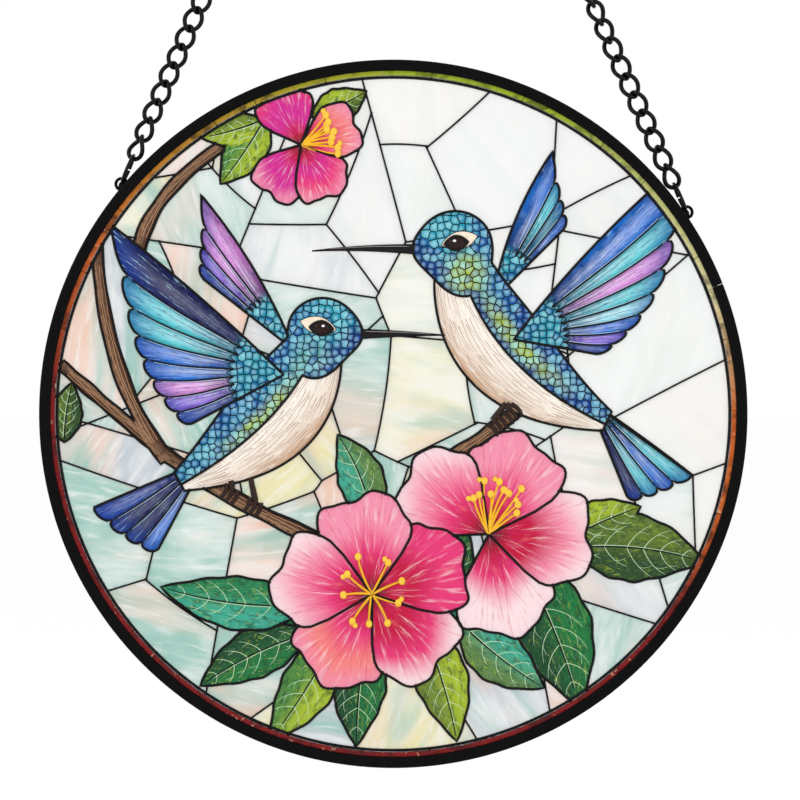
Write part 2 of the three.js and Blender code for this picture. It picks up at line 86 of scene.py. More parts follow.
def to_frame(points):
    """Points in the panel's millimetres, as points of the frame in metres."""
    p = np.asarray(points, float)
    return np.stack((p[:, 0], -p[:, 2], p[:, 1]), 1) * MM + np.array(PANEL_CENTER)


def srgb(red, green, blue):
    """A screen colour from 0 to 255, as the linear colour that a shader takes."""
    return tuple((v / 255 / 12.92) if v < 10.3 else ((v / 255 + 0.055) / 1.055) ** 2.4
                 for v in (red, green, blue))


def mm_setting(name, description, default):
    return FloatProperty(name=name, description=f"{description}, mm", default=default)


def degree_setting(name, description, default):
    return FloatProperty(name=name, description=f"{description}, degrees", default=default)


def colour_setting(name, red, green, blue):
    return FloatVectorProperty(name=name, description=f"Glass colour: {name.lower()}", subtype="COLOR",
                               size=3, min=0, max=1, default=srgb(red, green, blue))


class SuncatcherSizes(bpy.types.PropertyGroup):
    contour: mm_setting("Figure lead width", "Width of the lead round a figure", 1.15)
    line: mm_setting("Pane lead width", "Width of the lead between panes", 0.84)
    quill: mm_setting("Quill width", "Width of the line between two feathers", 0.42)
    mesh_step: mm_setting("Glass grid", "Spacing of the points in the glass", 1.9)
    rim_face: mm_setting("Rim face", "Width of the rim from the front", 3.1)
    rim_wall: mm_setting("Rim wall", "Thickness of the rim's channel", 1.2)
    seam_angle: degree_setting("Seam angle", "Where the rim's ends butt", 21.6)
    seam_gap: mm_setting("Seam gap", "Gap between the rim's ends", 0.12)
    seam_lift: mm_setting("Seam lift", "How far one end stands proud", 0.12)


class SuncatcherGear(bpy.types.PropertyGroup):
    wire: mm_setting("Link wire", "Thickness of the links' wire", 1.3)
    link_width: mm_setting("Link width", "Outer width of a link", 6.0)
    pitch: mm_setting("Link pitch", "Wanted distance from link to link", 5.65)
    twist: degree_setting("Link twist", "Turn between a link's two crowns", 90)
    loop_left: degree_setting("Left loop", "Place of the left loop round the rim", 139.8)
    loop_right: degree_setting("Right loop", "Place of the right loop round the rim", 34.5)
    loop_radius: mm_setting("Loop radius", "Radius of a loop's centre line", 1.6)
    loop_standoff: mm_setting("Loop stand-off", "From the rim to a loop's centre", 0.7)
    jump_radius: mm_setting("Jump ring radius", "Radius of its centre line", 4.2)
    thin_wire: mm_setting("Loop wire", "Wire of loops and jump rings", 0.9)
    ring_wire: mm_setting("Hanging ring wire", "Thickness of its wire", 2.2)


class SuncatcherColours(bpy.types.PropertyGroup):
    white: colour_setting("Opal white", 250, 251, 249)
    mint: colour_setting("Mint", 158, 204, 192)
    peach: colour_setting("Peach", 244, 206, 186)
    lemon: colour_setting("Lemon", 240, 230, 172)
    lilac: colour_setting("Lilac grey", 198, 206, 214)
    teal: colour_setting("Teal", 10, 138, 165)
    turquoise: colour_setting("Turquoise", 70, 205, 215)
    blue: colour_setting("Deep blue", 8, 62, 158)
    navy: colour_setting("Navy", 8, 16, 86)
    azure: colour_setting("Azure", 20, 118, 222)
    aqua: colour_setting("Aqua", 150, 228, 242)
    violet: colour_setting("Violet", 140, 96, 225)
    orchid: colour_setting("Orchid", 226, 140, 228)
    cream: colour_setting("Cream", 253, 246, 236)
    tan: colour_setting("Tan", 200, 158, 122)
    wine: colour_setting("Wine", 96, 0, 34)
    crimson: colour_setting("Crimson", 200, 10, 62)
    hot_pink: colour_setting("Hot pink", 234, 58, 122)
    pink: colour_setting("Pink", 246, 148, 176)
    blush: colour_setting("Blush", 253, 226, 230)
    coral: colour_setting("Coral", 246, 132, 126)
    magenta: colour_setting("Magenta", 214, 44, 150)
    lime: colour_setting("Lime", 170, 192, 44)
    olive: colour_setting("Olive", 98, 122, 44)
    green: colour_setting("Green", 26, 120, 62)
    sea: colour_setting("Sea green", 60, 170, 145)
    forest: colour_setting("Forest", 14, 58, 34)
    bark: colour_setting("Bark", 88, 46, 28)
    ruby: colour_setting("Ruby", 140, 22, 24)
    amber: colour_setting("Amber", 224, 110, 40)
    ice: colour_setting("Feather streaks", 190, 232, 250)
    frost: colour_setting("Sheen of the scales", 190, 240, 245)
    ink: colour_setting("Edge of the scales", 6, 12, 20)
    dew: colour_setting("Leaf scratches", 205, 238, 215)
    char: colour_setting("Bark grain", 36, 18, 12)
    soot: colour_setting("Border mottle", 40, 10, 8)
    spark: colour_setting("Border sparks", 250, 200, 160)


def sizes():
    return bpy.context.scene.suncatcher_sizes


def gear():
    return bpy.context.scene.suncatcher_gear


def tone(name):
    return np.array(getattr(bpy.context.scene.suncatcher_colours, name))


# Lines and outlines in the panel's plane, as arrays of points in millimetres
def at(x, y):
    return np.array((x, y), float) * DRAWN


def polar(degrees, reach):
    turn = np.radians(degrees)
    return np.stack((np.cos(turn) * reach, np.sin(turn) * reach), -1)


def bend(a, b, c, shares=None):
    """A bowed line from a to c that leans to b."""
    s = (np.linspace(0, 1, 25) if shares is None else np.asarray(shares, float))[:, None]
    return (1 - s) ** 2 * a + 2 * s * (1 - s) * b + s ** 2 * c


def sideways(path):
    along = np.gradient(path, axis=0)
    along /= np.linalg.norm(along, axis=1)[:, None] + 1e-12
    return np.stack((-along[:, 1], along[:, 0]), 1)


def strip(path, left, right):
    """An outline beside a path, from its widths to the left and to the right."""
    side = sideways(path)
    return np.concatenate((path + side * np.asarray(left)[:, None],
                           (path - side * np.asarray(right)[:, None])[::-1]))


def circle(radius, steps):
    turn = np.linspace(0, 2 * np.pi, steps, endpoint=False)
    return radius * np.stack((np.cos(turn), np.sin(turn)), 1)


def spread(points, step):
    """A line with a point every step or so."""
    out = [points[0]]
    for a, b in zip(points[:-1], points[1:]):
        count = max(1, int(round(np.linalg.norm(b - a) / step)))
        out.extend(a + (b - a) * i / count for i in range(1, count + 1))
    return np.array(out)


def inside(outline, points):
    """Which points lie inside an outline."""
    x, y = points[:, 0], points[:, 1]
    result = np.zeros(len(points), bool)
    for (x0, y0), (x1, y1) in zip(outline, np.roll(outline, -1, axis=0)):
        crosses = (y0 > y) != (y1 > y)
        if crosses.any():
            result ^= crosses & (x < x0 + (y - y0) * (x1 - x0) / (y1 - y0 + 1e-15))
    return result


def beside(path, points):
    """Where points lie along a path, from 0 to 1, and how far to its left."""
    gaps = points[:, None, :] - path[None, :, :]
    near = np.argmin((gaps ** 2).sum(2), axis=1)
    side = sideways(path)
    return near / (len(path) - 1), (gaps[np.arange(len(points)), near] * side[near]).sum(1)


def scatter(n):
    """A fixed draw from -0.5 to 0.5 for a number."""
    value = np.sin(n * 12.9898) * 43758.5453
    return value - np.floor(value) - 0.5


class Figure:
    """One figure of the picture: its pane's name, outline and finish, and what is drawn on it.

    field gives the colour, the streak place and, on wings, the plumage mask of points. lines are fine
    raised lines as (kind, path, first width, last width), and cuts part its feathers in the glass's mesh."""

    def __init__(self, pane, outline, finish, field, lines=(), cuts=()):
        self.pane, self.outline, self.finish = pane, np.asarray(outline), finish
        self.field, self.lines, self.cuts = field, list(lines), cuts


def leaf(pane, x, y, angle, length, width, bow, light, dark, veins=5):
    """A leaf on a curved midrib, with a light and a dark half and side veins."""
    base = at(x, y)
    tip = base + polar(angle, length * DRAWN)
    middle = (base + tip) / 2 + polar(angle + 90, bow * DRAWN)
    rib = bend(base, middle, tip)
    share = np.linspace(0, 1, len(rib))
    half = (width * DRAWN / 2) * np.sin(np.pi * share ** 0.85).clip(0) ** 0.9
    wave = 1 + 0.035 * np.sin(9 * np.pi * share)
    light, dark = tone(light), tone(dark)

    def field(points):
        along, aside = beside(rib, points)
        fade = np.clip(0.5 + aside / (0.35 * width), 0, 1)[:, None]
        lit = (0.15 + 0.8 * fade) * (1.05 - 0.4 * np.abs(along - 0.5))[:, None]
        return dark + (light - dark) * lit, np.stack((along * length * 0.1, aside * 0.1), 1)

    side = sideways(rib)
    lines = [("quill", rib[1:-1], 1.2, 0.6), ("vein", rib[2:-3] + side[2:-3] * 0.36, 0.26, 0.1)]
    for i in range(1, veins + 1):
        k = int(i / (veins + 1.2) * (len(rib) - 1))
        forward = rib[min(k + 1, len(rib) - 1)] - rib[k - 1]
        heading = math.degrees(math.atan2(forward[1], forward[0]))
        for sign in (1, -1):
            reach = half[k] * (1.05 + 0.3 * scatter(i + 5 * sign + length))
            end = rib[k] + polar(heading + sign * (40 + 12 * scatter(i + length)), reach)
            lean = rib[k] + polar(heading + sign * 64, reach * 0.55)
            vein = bend(rib[k], lean, end, np.linspace(0, 1, 10))
            lines.append(("vein", vein, 0.22, 0.07))
            twig = vein[5] + polar(heading - sign * 8, reach * 0.34)
            lines.append(("vein", bend(vein[5], vein[6], twig, np.linspace(0, 1, 5)), 0.13, 0.06))
    return Figure(pane, strip(rib, half * wave, half * wave), "leaf", field, lines)


PETAL_STOPS = (0.04, 0.2, 0.4, 0.66, 0.92)  # shares of its length where a petal has each of its colours
PETAL_HALF_ANGLE = 42


def petal(pane, center, angle, length, inner, outer, edge):
    """A broad petal that fans out of the middle of a blossom, darkest at its throat."""
    share = np.linspace(-1, 1, 41)
    full = np.sqrt(1 - np.abs(share) ** 3)
    ruffle = 1 + 0.05 * np.cos(7 * share + angle) + 0.012 * np.cos(17 * share + angle)
    reach = length * DRAWN * (0.5 + 0.5 * full) * ruffle
    rim = center + polar(angle + share * PETAL_HALF_ANGLE, reach)
    hues = np.array([tone(n) for n in ("wine", "crimson", inner, outer, edge)])

    def field(points):
        away = points - center
        radial = np.hypot(*away.T) / (length * DRAWN)
        swing = (np.degrees(np.arctan2(away[:, 1], away[:, 0])) - angle + 180) % 360 - 180
        depth = radial * (0.84 + 0.26 * np.clip(np.abs(swing) / PETAL_HALF_ANGLE, 0, 1))
        shade = np.stack([np.interp(depth, PETAL_STOPS, hues[:, c]) for c in range(3)], 1)
        return shade, np.stack((radial, swing / PETAL_HALF_ANGLE), 1)

    lines = []
    for s in (-0.8, -0.5, -0.22, 0.08, 0.36, 0.62, 0.86):
        out = np.linspace(0, 1, 14)
        swing = 34 * s * (0.75 + 0.25 * out) + 3 * np.sin(4 * out + 9 * s)
        reach = (0.2 + (0.46 + 0.24 * (1 - abs(s))) * out) * length * DRAWN
        lines.append(("fold", center + polar(angle + swing, reach), 0.18, 0.05))
    return Figure(pane, np.concatenate(([center], rim)), "petal", field, lines)


def blossom(name, x, y, length, turns, colours):
    center = at(x, y)
    return [petal(f"{name}_petal_{i + 1}", center, turn, length, *colours[i])
            for i, turn in enumerate(turns)]


TIP_DEPTH = 0.05  # how deep the notches between feather tips are, as a share of the reach
QUILL_START = 0.9  # where a quill starts, as a share of the coverts' reach
QUILL_SWAY = 0.02  # how far a quill bows, as a share of the fan
QUILL_OVERRUN = 0.4  # how far a quill runs past the feathers' tips, mm


def fan(pane, palette, root, start, stop, long, short, feathers, coverts, bow, fall=0.6):
    """A fan of feathers, each rounded at its tip, with quills, and scaled coverts at its root.

    It swings from start to stop in degrees, while its feathers go from long to short."""
    root, coverts = at(*root), coverts * DRAWN
    span = stop - start

    def reach(share):
        tip = np.sqrt(np.abs(np.sin(np.pi * feathers * share)))
        return long * DRAWN * (short / long) ** (share ** fall) * (1 - TIP_DEPTH * (1 - tip))

    share = np.linspace(0, 1, feathers * 9 + 1)
    rim = root + polar(start + span * share, reach(share))
    middle = (root + rim[0]) / 2 + polar(start + 90, bow * DRAWN)
    edge = bend(root, middle, rim[0])
    hues = np.array([tone(name) for name in palette])
    deep, cover = tone("navy"), tone("teal")
    first, dark = QUILL_START * coverts, 0.8 * coverts

    def field(points):
        away = points - root
        radial = np.hypot(*away.T)
        turn = (np.degrees(np.arctan2(away[:, 1], away[:, 0])) - start + 180) % 360 - 180
        across = np.clip(turn / span, 0, 1)
        past = np.clip((radial - first) / (reach(across) + QUILL_OVERRUN - first), 0, 1)
        lane = (across - QUILL_SWAY * np.sin(np.pi * past)) * feathers
        hue = hues[np.clip(lane.astype(int), 0, feathers - 1) % len(hues)]
        out = np.clip((radial - dark) / (reach(across) - dark), 0, 1)[:, None]
        # Deep navy at each feather's root, rising to its own hue and bluer towards its tip: partly the
        # feathers' colour and partly painted shade by the coverts and at the tips
        shade = deep + (hue - deep) * (0.1 + 0.9 * np.clip(out * 2, 0, 1))
        shade = shade + (tone("blue") - shade) * np.clip((out - 0.72) * 3, 0, 0.65)
        # Painted shade: each feather darkens towards the quills on either side of it
        fold = np.clip(4 * np.minimum(lane % 1, 1 - lane % 1), 0, 1)[:, None]
        shade = shade * (0.5 + 0.5 * fold)
        gleam = np.clip(1 - np.abs(lane % 1 - 0.4) * 2.4, 0, 1)[:, None]
        bright = (0.1 + 0.45 * hue.max(1)[:, None]) * gleam * np.sin(np.pi * out ** 0.8)
        shade = shade + (1 - shade) * bright
        covered = np.clip((1.05 - radial / coverts) * 5, 0, 1)
        shade = shade + (cover - shade) * covered[:, None]
        return shade, np.stack((radial * 0.1, across * feathers), 1), covered

    lines, cuts = [], []
    for i in range(1, feathers):
        s = i / feathers
        out = np.linspace(0, 1, 22)
        quill = root + polar(start + span * (s + QUILL_SWAY * np.sin(np.pi * out)),
                             first + (reach(np.array(s)) + QUILL_OVERRUN - first) * out)
        cuts.append(quill[:-1])
        lines.append(("quill", quill, 1.3, 1.0))
        lines.append(("gleam", quill[2:-2] + sideways(quill)[2:-2] * 0.36, 0.17, 0.1))
    for i in range(feathers):
        for k, place in enumerate((0.3, 0.62)):
            s = (i + place + 0.1 * scatter(i * 3 + k)) / feathers
            out = np.linspace(0.04, 0.78 + 0.2 * scatter(i + 7 * k), 14)
            shaft = root + polar(start + span * (s + 0.008 * np.sin(7 * out)),
                                 coverts + (reach(np.array(s)) - coverts) * out)
            lines.append(("barb", shaft, 0.16, 0.06))
    for i in range(feathers):
        turn = start + span * (i + np.linspace(0.04, 0.96, 9)) / feathers
        arc = coverts * (0.88 + 0.12 * np.sin(np.linspace(0, np.pi, 9)))
        lines.append(("quill", root + polar(turn, arc), 0.7, 0.7))
    outline = np.concatenate((edge[:-1], rim))
    return Figure(pane, outline, "feather", field, lines, cuts)


def head_outline(center, radius, facing):
    """A round head that swells towards the bill and into the bib."""
    turn = np.linspace(-180, 180, 96, endpoint=False)
    swell = 1 + 0.5 * np.exp(-((turn + 106) / 38) ** 2) + 0.16 * np.exp(-((turn + 8) / 30) ** 2)
    return center + polar(turn, radius * swell) * np.array((facing, 0.94))


# Widths of a bird's body beside its spine: at the head, what it loses to the tail, and its swell
BACK_WIDTHS = (7.6, 3.6, 6.4)
BELLY_WIDTHS = (6.4, 4.4, 8.8)
HAIR_ROWS, HAIRS_IN_ROW = 13, 5

# Each bird's head: its middle and radius, the tip of its bill, and how far the bill bows
HEADS = {"left_bird": ((-20, 23.5), 9.8, (14.6, 22.2), 0.4),
         "right_bird": ((17.5, 47.5), 10.4, (-23, 46), 1.0)}


def head_of(name):
    """A head's middle and radius, its bill's tip and bow, and 1 where it faces right or -1 left."""
    middle, radius, tip, bow = HEADS[name]
    return at(*middle), radius * DRAWN, at(*tip), bow, 1 if tip[0] > middle[0] else -1


def bird(name, chest, rump, near_wing, far_wing, tail, palettes):
    """One bird from front to back: head, near wing, belly, back, far wing and tail."""
    head, radius, _, _, facing = head_of(name)
    chest, rump = at(*chest), at(*rump)
    spine = bend(head, chest, rump, np.linspace(0.04, 1, 40))
    share = np.linspace(0, 1, len(spine))
    swell = np.sin(np.pi * share)
    back, belly = ((at_head - loss * share + full * swell) * DRAWN
                   for at_head, loss, full in (BACK_WIDTHS, BELLY_WIDTHS))
    none = np.zeros(len(spine))
    sides = (belly, none) if facing > 0 else (none, belly)
    backs = (none, back) if facing > 0 else (back, none)
    crown = tone("turquoise"), tone("teal"), tone("blue"), tone("lime")

    def plumage(points):
        along, aside = beside(spine, points)
        aside = -facing * aside / (13 * DRAWN)
        away = points - head
        near = np.clip(1.15 - np.hypot(*away.T) / (1.25 * radius), 0, 1)
        throat = np.clip((away[:, 0] * facing - away[:, 1] * 1.1) / radius - 0.45, 0, 1)
        top = np.clip(away[:, 1] / radius, 0, 1) * near
        deep = np.clip(aside * 1.3 - 0.15, 0, 0.9)
        gold = np.clip(1.3 - np.abs(aside - palettes["lime_at"]) * 5, 0, 1) * np.clip(
            np.minimum(along * 4 - 0.6, 3.4 - along * 4), 0, 1)
        cheek = palettes["cheek"] * np.clip(1.5 - np.hypot(
            away[:, 0] + facing * 0.3 * radius, away[:, 1] + 0.75 * radius) / (0.5 * radius), 0, 1)
        shade = crown[1] + (crown[2] - crown[1]) * deep[:, None]
        shade = shade + (crown[0] - shade) * (0.6 * top)[:, None]
        shade = shade + (crown[2] * 0.75 - shade) * np.clip(throat * 1.6, 0, 0.9)[:, None]
        shade = shade + (crown[3] - shade) * np.clip(gold + cheek, 0, 0.95)[:, None]
        return shade, points * 0.1

    def down(points):
        along, aside = beside(spine, points)
        out = np.abs(aside) / (14 * DRAWN)
        fade = np.clip(0.8 * along * out + 0.9 * out ** 3, 0, 1)[:, None]
        shade = tone("cream") + (tone("tan") - tone("cream")) * fade
        return shade, np.stack((along * np.linalg.norm(rump - head) * 0.1, aside * 0.1), 1)

    hairs = []
    for row in range(HAIR_ROWS):
        for i in range(HAIRS_IN_ROW):
            first = (i + 0.35 + 0.5 * scatter(row * 31 + i)) / (HAIRS_IN_ROW + 0.4)
            piece = np.linspace(first, min(first + 0.15 + 0.07 * scatter(row + i * 17), 0.99), 12)
            k = piece * (len(spine) - 1)
            place = np.stack([np.interp(k, np.arange(len(spine)), spine[:, c]) for c in (0, 1)], 1)
            full = np.interp(piece, share, belly) * facing
            out = full * ((row + 0.5) / (HAIR_ROWS + 0.4) + 0.022 * np.sin(26 * piece + row * 1.7))
            hairs.append(("hair", place + sideways(place) * out[:, None], 0.15, 0.07))
    teal = f"{name}_head_and_back"
    return [
        Figure(teal, head_outline(head, radius, facing), "plumage", plumage),
        fan(f"{name}_near_wing", palettes["near"], *near_wing),
        Figure(f"{name}_belly", strip(spine[3:], *(s[3:] for s in sides)), "down", down, hairs),
        Figure(teal, strip(spine, *backs), "plumage", plumage),
        fan(f"{name}_far_wing", palettes["far"], *far_wing),
        fan(f"{name}_tail", palettes["tail"], *tail),
    ]


def bough(pane, a, b, c, thick, thin):
    """A stretch of branch with a slightly knotted outline."""
    path = bend(at(*a), at(*b), at(*c), np.linspace(0, 1, 30))
    share = np.linspace(0, 1, len(path))
    half = (thick + (thin - thick) * share) / 2 * DRAWN
    knots = 1 + 0.14 * np.sin(17 * share + thick * 3) * np.sin(5 * share)
    light, dark = tone("tan"), tone("bark")

    def field(points):
        along, aside = beside(path, points)
        lit = np.clip(0.45 + aside / thick, 0, 1)[:, None]
        shade = dark * 0.5 + (light * 0.6 + dark * 0.4 - dark * 0.5) * lit
        return shade, np.stack((along * np.linalg.norm(path[-1] - path[0]) * 0.1, aside * 0.1), 1)

    side = sideways(path)
    lines = [("grain", path[3:-3] + side[3:-3] * (half[3:-3] * place)[:, None]
              + side[3:-3] * (0.16 * np.sin(20 * share[3:-3] + place * 9))[:, None], 0.2, 0.12)
             for place in (-0.55, -0.1, 0.35)]
    return Figure(pane, strip(path, half * knots, half * knots), "bark", field, lines)


def figures():
    """The whole picture, from the front figures to those behind."""
    left = bird(
        "left_bird", (-28, -2), (-60, -20),
        ((-31, 11), 139, 208, 69, 31, 8, 16, -2), ((-28, 18), 121, 142, 54, 34, 4, 18, -4),
        ((-53, -13), 203, 242, 36, 30, 4, 9, 0),
        {"near": ("navy", "turquoise", "turquoise", "azure", "azure", "orchid", "violet", "blue"),
         "lime_at": 0.12, "cheek": 0.2,
         "far": ("orchid", "orchid", "violet", "blue"), "tail": ("blue", "navy", "navy", "azure")})
    right = bird(
        "right_bird", (24, 14), (60, -3),
        ((34, 21), 47, -10, 65, 25, 8, 16, 3, 1.2), ((28, 32), 68, 45, 48, 30, 4, 16, 5),
        ((55, 4), -36, -68, 38, 31, 4, 9, 0),
        {"near": ("azure", "turquoise", "orchid", "turquoise", "aqua", "azure", "violet", "blue"),
         "lime_at": 0.3, "cheek": 1.0,
         "far": ("azure", "turquoise", "teal", "azure"),
         "tail": ("turquoise", "azure", "turquoise", "navy")})
    return [
        *left, *right,
        *blossom("low_blossom", -6, -51, 28, (168, 96, 24, -48, -120), (
            ("hot_pink", "pink", "blush"), ("hot_pink", "pink", "pink"),
            ("crimson", "hot_pink", "hot_pink"), ("crimson", "hot_pink", "blush"),
            ("hot_pink", "coral", "pink"))),
        *blossom("mid_blossom", 27, -34, 29, (140, 68, -4, -76), (
            ("hot_pink", "pink", "blush"), ("hot_pink", "pink", "pink"), ("crimson", "pink", "blush"),
            ("hot_pink", "blush", "blush"))),
        *blossom("top_blossom", -26, 76, 17, (114, 22, -58, -122), (
            ("magenta", "magenta", "hot_pink"), ("hot_pink", "coral", "pink"),
            ("magenta", "hot_pink", "pink"), ("magenta", "magenta", "pink"))),
        leaf("leaf_pair_lime", -37, 83, 196, 18, 9, 1, "lime", "olive"),
        leaf("leaf_pair_lime", -36, 84, 236, 23, 12, 1, "lime", "green"),
        leaf("leaf_olive_top", -23, 84, 25, 17, 10, -1, "lime", "forest"),
        leaf("leaf_centre_tall", -6, -30, 112, 26, 13, -3, "sea", "olive"),
        leaf("leaf_teal_long", -24, -54, 173, 42, 15, 4, "sea", "green", 6),
        leaf("leaf_teal_low", -24, -62, 206, 34, 14, -3, "green", "forest", 6),
        leaf("leaf_green_low", -16, -62, 238, 36, 15, 2, "lime", "green", 6),
        leaf("leaf_dark_low", -7, -62, 264, 32, 15, -2, "green", "forest", 6),
        leaf("leaf_lime_low", 8, -60, 287, 34, 15, 2, "lime", "olive", 6),
        leaf("leaf_olive_mid", 19, -59, 322, 30, 15, -2, "sea", "olive"),
        leaf("leaf_green_big", 36, -42, 292, 44, 22, 3, "green", "forest", 7),
        leaf("leaf_pair_right", 50, -38, 354, 38, 19, 4, "olive", "forest", 6),
        leaf("leaf_pair_right", 48, -36, 24, 24, 13, 1, "lime", "forest"),
        leaf("leaves_between", 12, -40, 268, 26, 26, 0, "sea", "forest"),
        leaf("leaves_between", 4, -62, 60, 34, 22, 0, "green", "forest"),
        leaf("leaves_between", -20, -52, 200, 20, 20, 0, "green", "forest"),
        leaf("leaves_between", 8, -26, 250, 22, 15, 1, "lime", "olive"),
        leaf("bud_leaf", -93, -8, 82, 17, 9, 1, "olive", "forest"),
        bough("branch_left", (-20, -36), (-44, -26), (-65, -11), 3.8, 4.2),
        bough("branch_left", (-64, -13), (-82, 10), (-84, 50), 4.2, 3.2),
        bough("branch_left", (-94, 14), (-82, 3), (-66, -10), 3, 3.4),
        bough("branch_top", (-72, 46), (-68, 66), (-38, 82), 3.8, 2.8),
        bough("branch_right", (14, -14), (30, -4), (46, 10), 4, 3.2),
    ]


# The white panes between the figures: cells round scattered seeds, each split again
CELL_COUNT = 17
CELL_SCATTER = 7
SPLIT_REACH = 17  # from a cell's middle to the seeds that split it again
GOLDEN_ANGLE = 180 * (3 - math.sqrt(5))

# The net: spacing of points on outlines, the grid's rows over its spacing, the ring at the edge that the
# grid leaves free, and the distance at which points merge, all but the second in millimetres
OUTLINE_STEP, GRID_ROW, FREE_EDGE, MERGE = 1.4, 0.866, 2, 1e-3
LINE_MARGIN = 1.2  # raised lines stop this far inside the outer lead


def cell_seeds():
    seeds = []
    for i in range(CELL_COUNT):
        place = polar(i * GOLDEN_ANGLE, DRAWN_RADIUS * math.sqrt((i + 0.5) / CELL_COUNT))
        seeds.append(at(place[0] + 2 * CELL_SCATTER * scatter(i + 1),
                        place[1] + 2 * CELL_SCATTER * scatter(i + 101)))
    return seeds


def cells(seeds, start):
    """The sides between neighbouring cells as (first, second, end, end), and each cell's corners."""
    sides, corners = [], []
    for i, seed in enumerate(seeds):
        outline = [(corner, None) for corner in start]
        for j, other in enumerate(seeds):
            if i == j:
                continue
            away = other - seed
            limit = np.dot(away, away) / 2
            beyond = [np.dot(p - seed, away) - limit for p, _ in outline]
            cut = []
            for k, (p, tag) in enumerate(outline):
                q, d0, d1 = outline[(k + 1) % len(outline)][0], beyond[k], beyond[(k + 1) % len(outline)]
                if d0 < 0:
                    cut.append((p, tag))
                if (d0 < 0) != (d1 < 0):
                    crossing = p + (q - p) * d0 / (d0 - d1)
                    cut.append((crossing, j if d0 < 0 else tag))
            outline = cut
        corners.append(np.array([p for p, _ in outline]))
        sides += [(i, tag, p, outline[(k + 1) % len(outline)][0])
                  for k, (p, tag) in enumerate(outline) if tag is not None and i < tag]
    return sides, corners


def bowed(a, b, sway, overrun=0.0):
    """A line from a to b that sways gently to one side."""
    along = b - a
    length = np.linalg.norm(along)
    if length < 0.5:
        return np.array([a, b])
    along = along / length
    side = np.array((-along[1], along[0]))
    a, b = a - along * overrun, b + along * overrun
    middle = (a + b) / 2 + side * sway * min(length / 25, 1.2)
    return bend(a, middle, b, np.linspace(0, 1, max(3, int(length / 1.5))))


def pane_lines():
    far = 2 * PANEL_RADIUS
    square = [np.array(p) for p in ((-far, -far), (far, -far), (far, far), (-far, far))]
    sides, corners = cells(cell_seeds(), square)
    lines = [bowed(a, b, 3.0 * scatter(3 * i + j)) for i, j, a, b in sides]
    for i, outline in enumerate(corners):
        trimmed = outline[np.hypot(*outline.T) < 1.4 * PANEL_RADIUS]
        middle = trimmed.mean(0) if len(trimmed) > 2 else cell_seeds()[i]
        reach = SPLIT_REACH * DRAWN
        turn = 360 * scatter(i + 41)
        inner = [middle + polar(turn + 120 * k, reach * (0.75 + 0.5 * scatter(i * 7 + k)))
                 for k in range(3)]
        parts, _ = cells(inner, list(outline))
        lines += [bowed(a, b, 5.0 * scatter(i + 11 * k + 5), 2.0)
                  for k, (_, _, a, b) in enumerate(parts)]
    return lines


# The panel cut into panes: one net of triangles over the whole picture
class Panel:
    """The net's points and triangles, the pane of each triangle, and the lead lines between panes."""

    def __init__(self):
        self.figures = figures()
        points, edges = [], []

        def add_line(line, closed=False):
            first, count = len(points), len(line)
            points.extend(line)
            last = count if closed else count - 1
            edges.extend((first + k, first + (k + 1) % count) for k in range(last))

        limit = LEAD_RADIUS - sizes().contour / 2
        add_line(circle(limit, 360), True)
        for figure in self.figures:
            outline = np.concatenate((figure.outline, figure.outline[:1]))
            add_line(spread(outline, OUTLINE_STEP)[:-1], True)
            for cut in figure.cuts:
                add_line(spread(cut, OUTLINE_STEP))
        for line in pane_lines():
            add_line(line)
        step = sizes().mesh_step
        rows = np.arange(-PANEL_RADIUS, PANEL_RADIUS, step * GRID_ROW)
        for k, y in enumerate(rows):
            x = np.arange(-PANEL_RADIUS, PANEL_RADIUS, step) + (k % 2) * step / 2
            row = np.stack((x, np.full(len(x), y)), 1)
            points.extend(row[np.hypot(*row.T) < LEAD_RADIUS - FREE_EDGE])
        result = delaunay_2d_cdt([Vector(p) for p in points], edges, [], 0, MERGE)
        self.points = np.array([tuple(v) for v in result[0]])
        triangles = np.array([f for f in result[2] if len(f) == 3])
        middle = self.points[triangles].mean(1)
        within = np.hypot(*middle.T) < limit
        self.triangles, middle = triangles[within], middle[within]
        self.owner = self.owners(middle)
        self.cut({(min(edge), max(edge)) for edge, origins in zip(result[1], result[4]) if origins})

    def owners(self, places):
        """The index of the front figure at each place, or -1 on the white background."""
        owner = np.full(len(places), -1)
        for index, figure in enumerate(self.figures):
            free = np.where(owner < 0)[0]
            owner[free[inside(figure.outline, places[free])]] = index
        return owner

    def cut(self, barriers):
        """Joins triangles into panes, and finds the edges where two panes meet."""
        names = [f.pane for f in self.figures] + ["background"]
        label = [names[k] for k in self.owner]
        beside_edge = {}
        for t, (a, b, c) in enumerate(self.triangles):
            for p, q in ((a, b), (b, c), (c, a)):
                beside_edge.setdefault((min(p, q), max(p, q)), []).append(t)
        leader = list(range(len(self.triangles)))

        def find(k):
            while leader[k] != k:
                leader[k] = leader[leader[k]]
                k = leader[k]
            return k

        for edge, sides in beside_edge.items():
            if len(sides) == 2 and label[sides[0]] == label[sides[1]]:
                if label[sides[0]] != "background" or edge not in barriers:
                    leader[find(sides[0])] = find(sides[1])
        self.pane_of = np.array([find(t) for t in range(len(self.triangles))])
        self.contours, self.seams = [], []
        for edge, sides in beside_edge.items():
            if len(sides) == 1:
                self.contours.append(edge)
            elif self.pane_of[sides[0]] != self.pane_of[sides[1]]:
                plain = label[sides[0]] == label[sides[1]] == "background"
                (self.seams if plain else self.contours).append(edge)
        self.label = np.array(label)

    def visible(self, figure, line):
        """The stretches of a line that show on a figure's own glass."""
        shown = [k >= 0 and self.figures[k].pane == figure.pane
                 and math.hypot(*p) < LEAD_RADIUS - LINE_MARGIN for k, p in zip(self.owners(line), line)]
        runs, run = [], []
        for k, own in enumerate(shown):
            if own:
                run.append(k)
            elif run:
                runs.append(run)
                run = []
        return [r for r in [*runs, run] if len(r) > 2]


@functools.lru_cache(maxsize=1)
def panel():
    return Panel()


